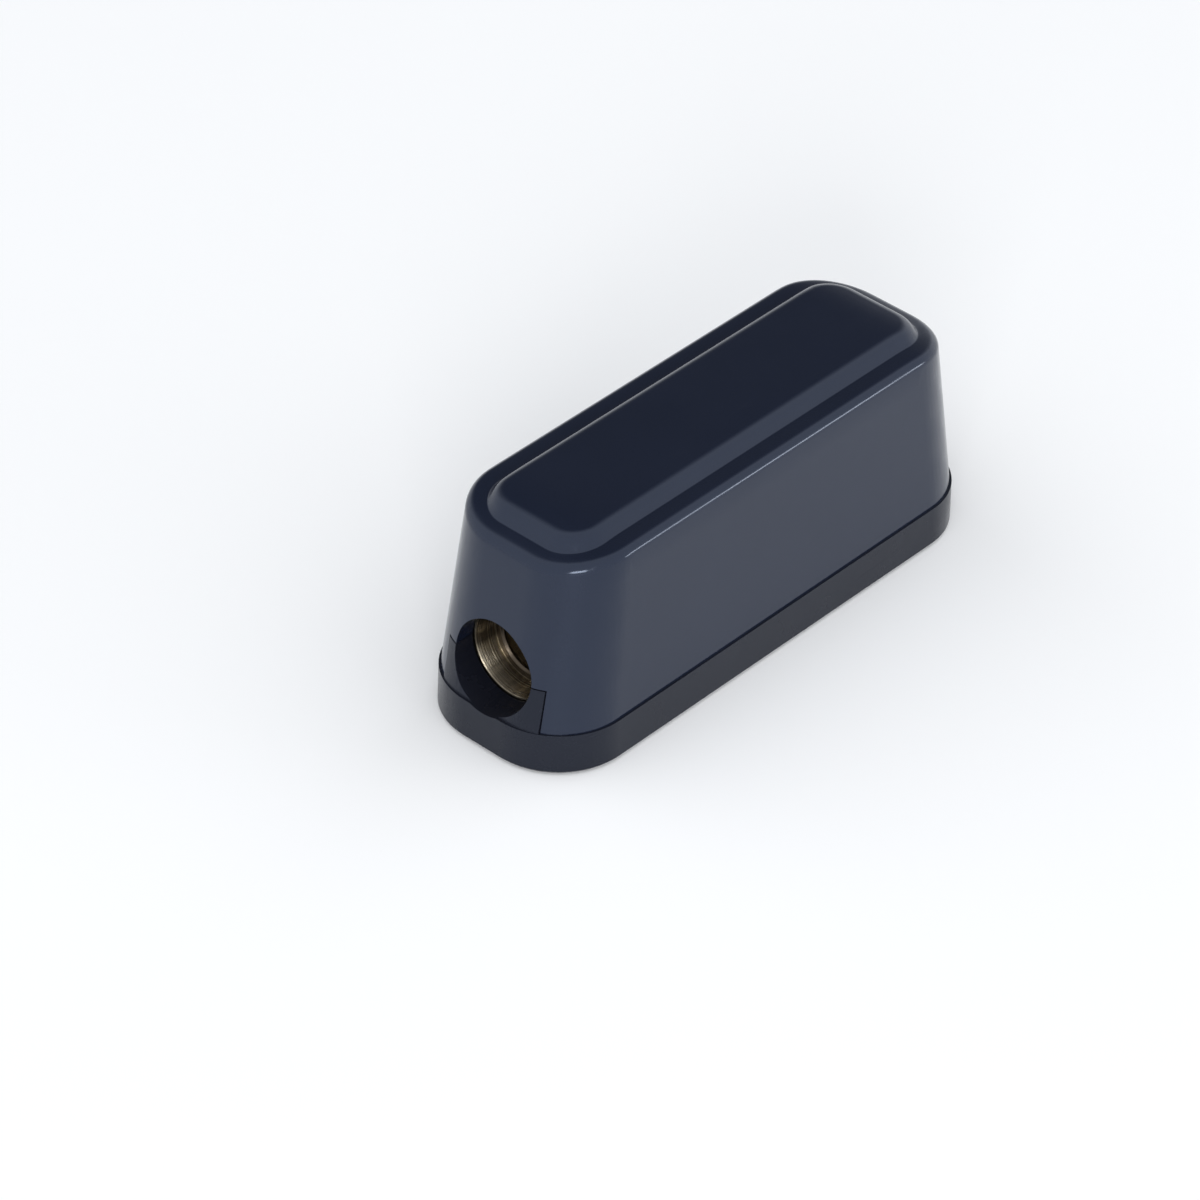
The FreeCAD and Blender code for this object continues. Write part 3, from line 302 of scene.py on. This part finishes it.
# the darkest colour here is painted shade for inside the cable's mouth, spread there by the patch and
# shoulder settings
brassFinish = {
    "dark": (0.33, 0.28, 0.205), "light": (0.54, 0.48, 0.37), "paintedMouthShade": (0.075, 0.06, 0.045),
    "polish": (0.12, 0.34), "bump": 0.6, "bumpDepth": 0.00005,
    "mouthStart": 32.0, "mouthRadius": 6.25, "shoulderRadius": 5.5, "shoulderEnd": 32.75,
    "ringScale": 4.0, "ringDetail": 4.0, "ringRoughness": 0.7, "ringLimits": (0.3, 0.7),
    "patchScale": 1.7, "patchRoughness": 0.55, "patchLimits": (0.42, 0.6), "patchStrength": 0.75,
}


def fromCableAxis(tree):
    # how far along the cable, how far out from its axis, and which way out
    split = addNode(tree, "ShaderNodeSeparateXYZ")
    link(tree, objectPattern(tree), split.inputs[0])
    along = mathOf(tree, "ABSOLUTE", split.outputs["X"])
    across = vectorOf(tree, Y=split.outputs["Y"], Z=mathOf(tree, "SUBTRACT", split.outputs["Z"], cableAxis))
    out = addNode(tree, "ShaderNodeVectorMath", operation="LENGTH")
    facing = addNode(tree, "ShaderNodeVectorMath", operation="NORMALIZE")
    for node in (out, facing):
        link(tree, across, node.inputs[0])
    return along, out.outputs["Value"], facing.outputs[0]


def terminalBrass(name, f):
    # straight saw lines on the block, and rings from the lathe in the cable's mouth
    material, tree, shader = startMaterial(name)
    marks = useGroup(tree, toolMarks, Along=1.0)
    along, out, facing = fromCableAxis(tree)
    inMouth = mathOf(tree, "MULTIPLY", mathOf(tree, "GREATER_THAN", along, f["mouthStart"]),
                     mathOf(tree, "LESS_THAN", out, f["mouthRadius"]))
    onShoulder = mathOf(tree, "MULTIPLY", mathOf(tree, "LESS_THAN", along, f["shoulderEnd"]),
                        mathOf(tree, "LESS_THAN", out, f["shoulderRadius"]))
    rings = noise(tree, vectorOf(tree, X=along, Y=out), f["ringScale"], f["ringDetail"], f["ringRoughness"])
    lines = mixValue(tree, inMouth, marks["Lines"])
    link(tree, ramp(tree, rings, f["ringLimits"]), lines.inputs["B"])
    # painted shade: the mouth is darkened in patches that change with the direction round its axis, and all
    # over its flat shoulder, to stand in for shade and dark reflections inside the entry
    patches = noise(tree, facing, f["patchScale"], roughness=f["patchRoughness"])
    shadePatches = mathOf(tree, "MULTIPLY", ramp(tree, patches, f["patchLimits"]), f["patchStrength"])
    paintedShadeMask = mathOf(tree, "MULTIPLY", inMouth, mathOf(tree, "MAXIMUM", shadePatches, onShoulder))
    plating = mixColour(tree, marks["Tone"], f["dark"], f["light"])
    shader.inputs["Metallic"].default_value = 1.0
    # lays the painted shade over the plating colour inside the mouth
    link(tree, mixColour(tree, paintedShadeMask, plating, f["paintedMouthShade"]), shader.inputs["Base Color"])
    link(tree, rangeOf(tree, lines.outputs["Result"], f["polish"]), shader.inputs["Roughness"])
    addBump(tree, shader, lines.outputs["Result"], f["bump"], f["bumpDepth"])
    return material


materialOfSlot = {
    "cover_plastic": blackPlastic("coverBlack", coverFinish),
    "base_plastic": blackPlastic("baseBlack", baseFinish),
    "terminal_metal": terminalBrass("brass", brassFinish),
    "screw_steel": platedMetal("zincSteel", zincFinish),
    "strip_metal": platedMetal("tinnedStrip", tinFinish),
    "case_plastic": casePlastic("caseBlue", blueFinish),
    "case_window": clearPlastic("caseClear", windowFinish),
}
print("finishes made")


# helpers for pieces

def meshObject(bm, name):
    mesh = bpy.data.meshes.new(name)
    bm.to_mesh(mesh)
    bm.free()
    piece = bpy.data.objects.new(name, mesh)
    bpy.context.collection.objects.link(piece)
    return piece


def moveTo(piece, place):
    piece.data.transform(Matrix.Translation((place, 0, 0)))


def booleanWith(piece, tool, operation="DIFFERENCE"):
    cutter = piece.modifiers.new("cut", "BOOLEAN")
    cutter.operation = operation
    cutter.solver = "EXACT"
    cutter.object = tool
    graph = bpy.context.evaluated_depsgraph_get()
    mesh = bpy.data.meshes.new_from_object(piece.evaluated_get(graph))
    piece.modifiers.clear()
    piece.data = mesh
    bpy.data.objects.remove(tool)


def dressPiece(piece, node, edgeBreak=0.0, segments=2, angle=32, broadFaces=False):
    # gives a piece its edges, finish and body, with an edge break in millimetres
    mesh = piece.data
    mesh.materials.clear()
    mesh.materials.append(materialOfSlot[slotOfNode[node]])
    for face in mesh.polygons:
        face.use_smooth = True
        face.material_index = 0
    mesh.set_sharp_from_angle(angle=math.radians(angle))
    if edgeBreak:
        bevel = piece.modifiers.new("edgeBreak", "BEVEL")
        bevel.limit_method = "ANGLE"
        bevel.angle_limit = math.radians(angle)
        bevel.width = edgeBreak / perMetre
        bevel.segments = segments
        bevel.harden_normals = True
    if broadFaces:  # keeps wide faces with holes evenly lit
        even = piece.modifiers.new("evenFaces", "WEIGHTED_NORMAL")
        even.keep_sharp = True
    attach(piece, bodyOfNode[node])
    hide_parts(node)


def finishPiece(piece, node, edgeBreak=0.0, segments=2, angle=32):
    piece.data.transform(toMetres)
    dressPiece(piece, node, edgeBreak, segments, angle)


def boxTool(name, low, high):
    bm = bmesh.new()
    bmesh.ops.create_cube(bm, size=1.0)
    bmesh.ops.scale(bm, vec=[b - a for a, b in zip(low, high)], verts=bm.verts)
    bmesh.ops.translate(bm, vec=[(a + b) / 2 for a, b in zip(low, high)], verts=bm.verts)
    return meshObject(bm, name)


def rodTool(name, radius, low, high, segments=96, along="Z"):
    bm = bmesh.new()
    bmesh.ops.create_cone(bm, cap_ends=True, segments=segments, radius1=radius, radius2=radius,
                          depth=(Vector(high) - Vector(low)).length)
    if along == "X":
        bmesh.ops.rotate(bm, cent=(0, 0, 0), matrix=Matrix.Rotation(math.pi / 2, 3, "Y"), verts=bm.verts)
    bmesh.ops.translate(bm, vec=(Vector(low) + Vector(high)) / 2, verts=bm.verts)
    return meshObject(bm, name)


def spinRound(bm, geometry, steps):
    bmesh.ops.spin(bm, geom=geometry, cent=(0, 0, 0), axis=(0, 0, 1), angle=2 * math.pi, steps=steps,
                   use_merge=True)
    bmesh.ops.remove_doubles(bm, verts=bm.verts, dist=weld)
    bmesh.ops.recalc_face_normals(bm, faces=bm.faces)


# cover

cover = {
    "seam": 6.2, "halfLength": 40.5, "halfWidth": 13.3, "footCorner": 10.0, "rimCorner": 8.9,
    "endLean": 9.4, "sideLean": 2.6, "ledge": 30.8, "rimRound": 1.3, "wall": 1.7,
    "levelHalf": 26.0, "topArc": 37.0,  # the top is level to here, and falls in this arc beyond
    "panelHalfLength": 33.9, "panelHalfWidth": 8.95, "panelRise": 1.6, "panelCorner": 5.2,
    "panelSlope": 51.0, "panelFootRound": 0.25, "panelEdgeRound": 2.3, "panelInside": 0.6,
    "entryRadius": 6.4, "entryHalf": 8.1, "entryInner": 36.0, "entryGap": 0.15, "slotBack": 1.0,
    "pastEnd": 45.0,  # how far out the tools that cut the entries reach
    "cornerSegments": 18, "wallRows": 8, "rimTilt": 6, "rimRows": 7, "ledgeRows": (0.35, 0.7),
    "footRows": 4, "edgeRows": 10, "fallRows": 15, "fallPitch": 0.9,
    "edgeBreak": 0.14, "edgeSegments": 3,
}


def roundedLoop(bm, halfX, halfY, corner, z, segments):
    before = set(bm.faces)
    verts = bmesh.ops.create_grid(bm, x_segments=1, y_segments=1, size=1.0)["verts"]
    for vert in verts:
        vert.co = Vector((vert.co.x * halfX, vert.co.y * halfY, z))
    bmesh.ops.bevel(bm, geom=verts, offset=corner, offset_type="OFFSET", segments=segments,
                    profile=0.5, affect="VERTICES", material=-1)
    return (set(bm.faces) - before).pop()


def stackLoops(bm, loops, segments):
    # a closed solid through rounded loops, each (halfX, halfY, corner, z)
    last = None
    for index, loop in enumerate(loops):
        face = roundedLoop(bm, *loop, segments)
        edges = list(face.edges)
        if 0 < index < len(loops) - 1:
            bmesh.ops.delete(bm, geom=[face], context="FACES_ONLY")
        if last:
            bmesh.ops.bridge_loops(bm, edges=last + edges)
        last = edges


def panelSteps(c):
    # heights up the panel's edge, each with how far in it lies from where the foot's curve starts
    tilt = math.radians(c["panelSlope"])
    foot, edge, rise = c["panelFootRound"], c["panelEdgeRound"], c["panelRise"]
    footTilts = [tilt * row / c["footRows"] for row in range(c["footRows"] + 1)]
    edgeTilts = [tilt * row / c["edgeRows"] for row in range(c["edgeRows"], -1, -1)]
    low = [(foot * (1 - math.cos(a)), foot * math.sin(a)) for a in footTilts]
    straight = (rise - (foot + edge) * (1 - math.cos(tilt))) / math.tan(tilt)
    total = low[-1][1] + straight + edge * math.sin(tilt)
    return low + [(rise - edge * (1 - math.cos(a)), total - edge * math.sin(a)) for a in edgeTilts]


def coverLoops(c, inset, below):
    # outlines from the foot up the walls, round the rim, over the ledge and up the panel
    loops = []
    halfX, halfY = c["halfLength"] - inset, c["halfWidth"] - inset
    ledge, curve = c["ledge"] - inset, c["rimRound"]
    endLean, sideLean = math.radians(c["endLean"]), math.radians(c["sideLean"])
    rimStart = ledge - curve * (1 - math.sin(math.radians(c["rimTilt"])))
    if below:
        loops.append((halfX, halfY, c["footCorner"] - inset, c["seam"] - below))
    for row in range(c["wallRows"] + 1):
        share = row / c["wallRows"]
        z = c["seam"] + (rimStart - c["seam"]) * share
        rise = z - c["seam"]
        corner = c["footCorner"] + (c["rimCorner"] - c["footCorner"]) * share - inset
        loops.append((halfX - rise * math.tan(endLean), halfY - rise * math.tan(sideLean), corner, z))
    rise = ledge - curve - c["seam"]
    centreX = halfX - rise * math.tan(endLean) - curve / math.cos(endLean)
    centreY = halfY - rise * math.tan(sideLean) - curve / math.cos(sideLean)
    corner = c["rimCorner"] - inset - curve
    for row in range(1, c["rimRows"] + 1):
        tilt = math.radians(c["rimTilt"] + (90 - c["rimTilt"]) * row / c["rimRows"])
        out = curve * math.cos(tilt)
        loops.append((centreX + out, centreY + out, corner + out, ledge - curve + curve * math.sin(tilt)))
    reach = c["panelFootRound"] * math.tan(math.radians(c["panelSlope"] / 2)) - inset * c["panelInside"]
    panelX, panelY = c["panelHalfLength"] + reach, c["panelHalfWidth"] + reach
    panelCorner = c["panelCorner"] + reach
    for share in c["ledgeRows"]:
        loops.append((centreX + (panelX - centreX) * share, centreY + (panelY - centreY) * share,
                      corner + (panelCorner - corner) * share, ledge))
    for height, inward in panelSteps(c):
        loops.append((panelX - inward, panelY - inward, panelCorner - inward, ledge + height))
    return loops, rimStart


def coverSolid(c, name, inset=0.0, below=0.0):
    bm = bmesh.new()
    loops, rimStart = coverLoops(c, inset, below)
    stackLoops(bm, loops, c["cornerSegments"])
    for row in range(c["fallRows"]):  # more rows where the top falls
        for side in (1, -1):
            bmesh.ops.bisect_plane(bm, geom=bm.verts[:] + bm.edges[:] + bm.faces[:], dist=cutSnap,
                                   plane_co=(side * (c["levelHalf"] + row * c["fallPitch"]), 0, 0),
                                   plane_no=(1, 0, 0))
    for vert in bm.verts:
        x, y, z = vert.co
        share = min(1.0, max(0.0, (z - c["seam"]) / (rimStart - c["seam"])))
        over = max(0.0, abs(x) - c["levelHalf"])
        drop = share * (c["topArc"] - math.sqrt(c["topArc"] ** 2 - over ** 2))
        x += x / c["halfLength"] * drop * math.tan(math.radians(c["endLean"]))
        y += y / c["halfWidth"] * drop * math.tan(math.radians(c["sideLean"]))
        vert.co = (x, y, z - drop)
    bmesh.ops.recalc_face_normals(bm, faces=bm.faces)
    return meshObject(bm, name)


def cutBothEnds(piece, name, c, inner, half, low, high):
    for side in (1, -1):
        start, end = sorted((side * inner, side * c["pastEnd"]))
        booleanWith(piece, boxTool(name, (start, -half, low), (end, half, high)))


def makeCover(c):
    shell = coverSolid(c, "coverShell")
    hollow = coverSolid(c, "coverHollow", c["wall"], pastFace)
    half, low = c["entryHalf"], cableAxis + c["entryGap"]
    cutBothEnds(hollow, "collar", c, c["entryInner"], half, low, cableAxis + half)  # leaves room for collars
    booleanWith(shell, hollow)
    cutBothEnds(shell, "slot", c, c["entryInner"] - c["slotBack"], half + c["entryGap"], 0, low)
    booleanWith(shell, rodTool("entry", c["entryRadius"], (-c["pastEnd"], 0, cableAxis),
                               (c["pastEnd"], 0, cableAxis), along="X"))
    finishPiece(shell, "cover", c["edgeBreak"], c["edgeSegments"])


makeCover(cover)
print("cover made")


# pieces whose solids have the right shape: merged copies with broken edges

solidCopy = {
    "edgeBreaks": {"base": 0.2, "fuse_strip": 0.06, "fuse_case_lower": 0.12, "fuse_case_upper": 0.12,
                   "block_screw_left": 0.08, "block_screw_right": 0.08},
    "broadFaces": ("base",), "mergeMetres": 2e-6, "flatDegrees": 0.4,
}


def copySolid(node, edgeBreak, s):
    bm = bmesh.new()
    bm.from_mesh(frame["nodes"][node].data)
    bmesh.ops.remove_doubles(bm, verts=bm.verts, dist=s["mergeMetres"])
    bmesh.ops.dissolve_limit(bm, angle_limit=math.radians(s["flatDegrees"]), verts=bm.verts, edges=bm.edges)
    dressPiece(meshObject(bm, node + "Piece"), node, edgeBreak, broadFaces=node in s["broadFaces"])


for node, edgeBreak in solidCopy["edgeBreaks"].items():
    copySolid(node, edgeBreak, solidCopy)
print("housing base and fuse made")


# terminals, with each hole as a line of (height, radius) points on its own axis

terminal = {
    "tip": 10.4, "inner": 21.4, "outer": 35.8, "halfWidth": 6.6, "seat": 5.0, "tongueTop": 10.5, "top": 21.0,
    "rootRound": 0.5, "rootSegments": 5, "chamfer": 1.2, "edgeBreak": 0.12, "near": 0.01,
    "bore": [(23.4, 0), (23.4, 4.4), (32.4, 4.4), (32.7, 4.7), (32.7, 5.6), (35.5, 6.0), (35.8, 6.2),
             (36.6, 6.7), (36.6, 0)],
    "boreSegments": 128, "holeSegments": 96,
    "holes": {
        "clamp": (27.6, [(12.2, 0), (12.2, 4.05), (20.6, 4.05), (21.0, 4.45), (21.6, 5.05), (21.6, 0)]),
        "fuse": (15.0, [(4.0, 0), (4.0, 2.55), (12.0, 2.55), (12.0, 0)]),
        "block": (20.2, [(4.0, 0), (4.0, 2.05), (8.7, 2.05), (9.2, 0)]),
    },
}


def turnedTool(name, line, segments):
    bm = bmesh.new()
    verts = [bm.verts.new((radius, 0, height)) for height, radius in line]
    edges = [bm.edges.new(pair) for pair in zip(verts, verts[1:])]
    spinRound(bm, verts + edges, segments)
    return meshObject(bm, name)


def bevelEdges(bm, edges, offset, segments):
    bmesh.ops.bevel(bm, geom=edges, offset=offset, offset_type="OFFSET", segments=segments, profile=0.5,
                    affect="EDGES", material=-1)


def terminalBlock(t):
    bm = bmesh.new()
    line = ((t["tip"], t["seat"]), (t["outer"], t["seat"]), (t["outer"], t["top"]), (t["inner"], t["top"]),
            (t["inner"], t["tongueTop"]), (t["tip"], t["tongueTop"]))
    half, near = t["halfWidth"], t["near"]
    flank = bm.faces.new([bm.verts.new((x, -half, z)) for x, z in line])
    pushed = bmesh.ops.extrude_face_region(bm, geom=[flank], use_keep_orig=True)["geom"]
    farVerts = [v for v in pushed if isinstance(v, bmesh.types.BMVert)]
    bmesh.ops.translate(bm, vec=(0, 2 * half, 0), verts=farVerts)
    bmesh.ops.recalc_face_normals(bm, faces=bm.faces)
    middles = [(edge, (edge.verts[0].co + edge.verts[1].co) / 2) for edge in bm.edges]
    root = [edge for edge, m in middles if abs(m.x - t["inner"]) + abs(m.z - t["tongueTop"]) < near]
    outer = [edge for edge, m in middles
             if abs(m.z - t["top"]) < near or (abs(m.x - t["tip"]) < near and abs(abs(m.y) - half) < near)]
    bevelEdges(bm, outer, t["chamfer"], 1)
    bevelEdges(bm, [edge for edge in root if edge.is_valid], t["rootRound"], t["rootSegments"])
    bmesh.ops.recalc_face_normals(bm, faces=bm.faces)
    return bm


def makeTerminal(node, side, t):
    piece = meshObject(terminalBlock(t), node + "Piece")
    bore = turnedTool("bore", t["bore"], t["boreSegments"])
    bore.data.transform(Matrix.Translation((0, 0, cableAxis)) @ Matrix.Rotation(math.pi / 2, 4, "Y"))
    booleanWith(piece, bore)
    for name, (place, line) in t["holes"].items():
        hole = turnedTool(name, line, t["holeSegments"])
        moveTo(hole, place)
        booleanWith(piece, hole)
    if side < 0:
        piece.data.transform(Matrix.Rotation(math.pi, 4, "Z"))
    finishPiece(piece, node, t["edgeBreak"])


makeTerminal("terminal_right", 1, terminal)
makeTerminal("terminal_left", -1, terminal)
print("terminals made")


# screws and washers

thread = {"steps": 48, "depth": 0.61, "rootEnd": 0.22, "crestStart": 0.46, "crestEnd": 0.62, "spareTurns": 4,
          "sharpAngle": 40}  # depths and places as shares of the pitch


def threadedRod(radius, pitch, low, high, t):
    # one turn of a toothed line, spun as it climbs one pitch, joins up into a thread
    bm = bmesh.new()
    root = radius - t["depth"] * pitch
    tooth = ((root, 0.0), (root, t["rootEnd"]), (radius, t["crestStart"]), (radius, t["crestEnd"]))
    line = []
    for turn in range(int((high - low) / pitch) + t["spareTurns"]):
        z = low - pitch + turn * pitch
        line += [bm.verts.new((reach, 0, z + share * pitch)) for reach, share in tooth]
    edges = [bm.edges.new(pair) for pair in zip(line, line[1:])]
    bmesh.ops.spin(bm, geom=line + edges, cent=(0, 0, 0), axis=(0, 0, 1), dvec=(0, 0, pitch / t["steps"]),
                   angle=2 * math.pi, steps=t["steps"])
    bmesh.ops.remove_doubles(bm, verts=bm.verts, dist=weld)
    for z, side in ((low, -1), (high, 1)):
        bmesh.ops.bisect_plane(bm, geom=bm.verts[:] + bm.edges[:] + bm.faces[:], dist=cutSnap,
                               plane_co=(0, 0, z), plane_no=(0, 0, side), clear_outer=True)
        rim = [e for e in bm.edges if e.is_boundary and all(abs(v.co.z - z) < 10 * weld for v in e.verts)]
        bmesh.ops.holes_fill(bm, edges=rim, sides=0)
    bmesh.ops.recalc_face_normals(bm, faces=bm.faces)
    return bm


def narrowEnd(bm, radius, z, length):
    # draws the points near an end in, as a 45 degree chamfer does
    for vert in bm.verts:
        share = 1 - abs(vert.co.z - z) / length
        out = math.hypot(vert.co.x, vert.co.y)
        limit = radius - share * length
        if share > 0 and out > limit:
            vert.co.x *= limit / out
            vert.co.y *= limit / out


def cutSocket(piece, top, s):
    reach = s["hexagon"] / 2 / math.cos(math.radians(30))  # from the flats to the corners
    booleanWith(piece, rodTool("socket", reach, (0, 0, top - s["socketDepth"]), (0, 0, top + pastFace),
                               segments=6))


clampScrew = {"radius": 4.0, "pitch": 1.25, "low": 16.6, "high": 24.6, "place": 27.6, "hexagon": 4.0,
              "socketDepth": 4.0, "chamfer": 0.55, "point": 0.4}


def makeClampScrew(node, side, s):
    bm = threadedRod(s["radius"], s["pitch"], s["low"], s["high"], thread)
    narrowEnd(bm, s["radius"], s["high"], s["chamfer"])
    narrowEnd(bm, s["radius"], s["low"], s["point"])
    piece = meshObject(bm, node + "Piece")
    cutSocket(piece, s["high"], s)
    moveTo(piece, side * s["place"])
    finishPiece(piece, node, angle=thread["sharpAngle"])


fuseScrew = {
    "radius": 2.5, "pitch": 0.8, "low": 5.8, "seat": 13.8, "headRadius": 4.25, "headHeight": 5.0,
    "place": 15.0, "hexagon": 4.0, "socketDepth": 2.5, "point": 0.6, "inHead": 0.3, "knurls": 44,
    "knurlDepth": 0.14,
    "headFoot": ((0.35, 0, 0), (0.1, 0.1, 0), (0, 0.35, 0), (0, 0.5, 0), (0, 0.75, 1)),
    "headTop": ((0, 0.95, 1), (0, 0.7, 0), (0, 0.5, 0), (0.15, 0.18, 0), (0.5, 0, 0)),
}  # each ring of the head is (how far in, how far from its end, knurled)


def screwHead(s):
    bm = bmesh.new()
    low, high = s["seat"], s["seat"] + s["headHeight"]
    rings = [(s["headRadius"] - inward, low + up, knurled) for inward, up, knurled in s["headFoot"]]
    rings += [(s["headRadius"] - inward, high - down, knurled) for inward, down, knurled in s["headTop"]]
    last = None
    for reach, z, knurled in rings:
        verts = bmesh.ops.create_circle(bm, cap_ends=False, segments=2 * s["knurls"], radius=reach)["verts"]
        bmesh.ops.translate(bm, vec=(0, 0, z), verts=verts)
        edges = list({edge for vert in verts for edge in vert.link_edges})
        if knurled:
            for vert in verts[::2]:
                vert.co.x *= 1 - s["knurlDepth"] / reach
                vert.co.y *= 1 - s["knurlDepth"] / reach
        if last:
            bmesh.ops.bridge_loops(bm, edges=last + edges)
        else:
            bmesh.ops.contextual_create(bm, geom=edges)
        last = edges
    bmesh.ops.contextual_create(bm, geom=last)
    bmesh.ops.recalc_face_normals(bm, faces=bm.faces)
    return bm


def makeFuseScrew(node, side, s):
    piece = meshObject(screwHead(s), node + "Piece")
    cutSocket(piece, s["seat"] + s["headHeight"], s)
    rod = threadedRod(s["radius"], s["pitch"], s["low"], s["seat"] + s["inHead"], thread)
    narrowEnd(rod, s["radius"], s["low"], s["point"])
    booleanWith(piece, meshObject(rod, "rod"), "UNION")
    moveTo(piece, side * s["place"])
    finishPiece(piece, node, angle=thread["sharpAngle"])


def ringProfile(bm, w, high):
    hole, radius, low, edge = w["hole"], w["radius"], w["low"], w["edge"]
    points = ((hole, low + edge), (hole + edge, low), (radius - edge, low), (radius, low + edge),
              (radius, high - edge), (radius - edge, high), (hole + edge, high), (hole, high - edge))
    return bm.faces.new([bm.verts.new((x, 0, z)) for x, z in points])


flatWasher = {"hole": 2.7, "radius": 5.0, "low": 11.5, "high": 12.5, "place": 15.0, "edge": 0.12, "steps": 96}


def makeFlatWasher(node, side, w):
    bm = bmesh.new()
    face = ringProfile(bm, w, w["high"])
    outline = list(face.verts) + list(face.edges)
    bmesh.ops.delete(bm, geom=[face], context="FACES_ONLY")
    spinRound(bm, outline, w["steps"])
    piece = meshObject(bm, node + "Piece")
    moveTo(piece, side * w["place"])
    finishPiece(piece, node)


springWasher = {"hole": 2.7, "radius": 4.4, "low": 12.5, "high": 13.8, "place": 15.0, "edge": 0.12,
                "steps": 84, "splitDegrees": 12, "rise": 0.22}


def makeSpringWasher(node, side, w):
    # a split ring that climbs a little from one end to the other
    bm = bmesh.new()
    face = ringProfile(bm, w, w["high"] - w["rise"])
    start = Matrix.Rotation(math.radians(w["splitDegrees"] / 2 - 90), 3, "Z")
    bmesh.ops.rotate(bm, cent=(0, 0, 0), matrix=start, verts=bm.verts)
    bmesh.ops.spin(bm, geom=[face], cent=(0, 0, 0), axis=(0, 0, 1), dvec=(0, 0, w["rise"] / w["steps"]),
                   angle=math.radians(360 - w["splitDegrees"]), steps=w["steps"])
    bmesh.ops.recalc_face_normals(bm, faces=bm.faces)
    piece = meshObject(bm, node + "Piece")
    moveTo(piece, side * w["place"])
    finishPiece(piece, node)


for sideName, side in (("left", -1), ("right", 1)):
    makeClampScrew("clamp_screw_" + sideName, side, clampScrew)
    makeFuseScrew("fuse_screw_" + sideName, side, fuseScrew)
    makeFlatWasher("flat_washer_" + sideName, side, flatWasher)
    makeSpringWasher("spring_washer_" + sideName, side, springWasher)
print("screws and washers made")


# floor, light and camera, in metres

floorSettings = {"half": 3.0, "cells": 8, "tone": 0.97, "toneSpread": 0.01, "cloudScale": 3.0,
                 "roughness": 0.6, "shine": 0.2}


def makeFloor(s):
    bm = bmesh.new()
    bmesh.ops.create_grid(bm, x_segments=s["cells"], y_segments=s["cells"], size=s["half"])
    floor = meshObject(bm, "floor")
    material, tree, shader = startMaterial("paleFloor")
    cloud = noise(tree, objectPattern(tree, [1 / perMetre] * 3), s["cloudScale"])
    dark, light = ((tone,) * 3 for tone in (s["tone"] - s["toneSpread"], s["tone"] + s["toneSpread"]))
    link(tree, mixColour(tree, cloud, dark, light), shader.inputs["Base Color"])
    shader.inputs["Roughness"].default_value = s["roughness"]
    shader.inputs["Specular IOR Level"].default_value = s["shine"]
    floor.data.materials.append(material)


lamps = [
    {"name": "besideCamera", "at": (-0.85, -0.7, 0.42), "size": (0.45, 0.3), "power": 4.5},
    {"name": "lowFront", "at": (0.53, -0.72, 0.09), "size": (0.4, 0.12), "power": 1.2},
]


def makeLamp(s):
    data = bpy.data.lights.new(s["name"], "AREA")
    data.shape = "RECTANGLE"
    data.size, data.size_y = s["size"]
    data.energy = s["power"]
    lamp = bpy.data.objects.new(s["name"], data)
    lamp.location = s["at"]
    lamp.rotation_euler = (-Vector(s["at"])).to_track_quat("-Z", "Y").to_euler()
    bpy.context.collection.objects.link(lamp)


room = {"tint": (0.95, 0.97, 1.0), "strength": 1.1, "seenStrength": 0.95,
        "flag": (0.5, 0.6, 0.62), "flagStrength": 0.14, "flagInner": 12, "flagOuter": 43}


def makeRoom(s):
    # an even pale room with a soft dark flag in one direction, which the glossy top mirrors
    world = bpy.data.worlds.new("studio")
    world.use_nodes = True
    tree = world.node_tree
    back = tree.nodes["Background"]
    back.inputs["Color"].default_value = (*s["tint"], 1)
    coords = addNode(tree, "ShaderNodeTexCoord")
    toFlag = addNode(tree, "ShaderNodeVectorMath", operation="DOT_PRODUCT")
    toFlag.inputs[1].default_value = Vector(s["flag"]).normalized()
    link(tree, coords.outputs["Generated"], toFlag.inputs[0])
    edge = addNode(tree, "ShaderNodeMapRange", interpolation_type="SMOOTHSTEP")
    edge.inputs["From Min"].default_value = math.cos(math.radians(s["flagOuter"]))
    edge.inputs["From Max"].default_value = math.cos(math.radians(s["flagInner"]))
    edge.inputs["To Min"].default_value = s["strength"]
    edge.inputs["To Max"].default_value = s["flagStrength"]
    link(tree, toFlag.outputs["Value"], edge.inputs["Value"])
    rays = addNode(tree, "ShaderNodeLightPath")
    seen = mixValue(tree, rays.outputs["Is Camera Ray"], edge.outputs["Result"])
    seen.inputs["B"].default_value = s["seenStrength"]
    link(tree, seen.outputs["Result"], back.inputs["Strength"])
    bpy.context.scene.world = world


view = {"target": (-0.00819, 0.00993, 0.0), "azimuth": -48.46, "elevation": 37.9, "roll": 1.57,
        "distance": 0.7329, "lens": 169.82, "sensor": 36.0}


def makeCamera(v):
    azimuth, elevation = math.radians(v["azimuth"]), math.radians(v["elevation"])
    back = Vector((math.sin(azimuth) * math.cos(elevation), -math.cos(azimuth) * math.cos(elevation),
                   math.sin(elevation)))
    data = bpy.data.cameras.new("photoView")
    data.lens, data.sensor_width = v["lens"], v["sensor"]
    camera = bpy.data.objects.new("photoView", data)
    aim = (-back).to_track_quat("-Z", "Y").to_matrix().to_4x4()
    roll = Matrix.Rotation(math.radians(v["roll"]), 4, "Z")
    place = Matrix.Translation(Vector(v["target"]) + back * v["distance"])
    camera.matrix_world = place @ aim @ roll
    bpy.context.collection.objects.link(camera)
    bpy.context.scene.camera = camera


makeFloor(floorSettings)
for settings in lamps:
    makeLamp(settings)
makeRoom(room)
makeCamera(view)
bpy.context.scene.view_settings.view_transform = "Standard"
print("studio made")
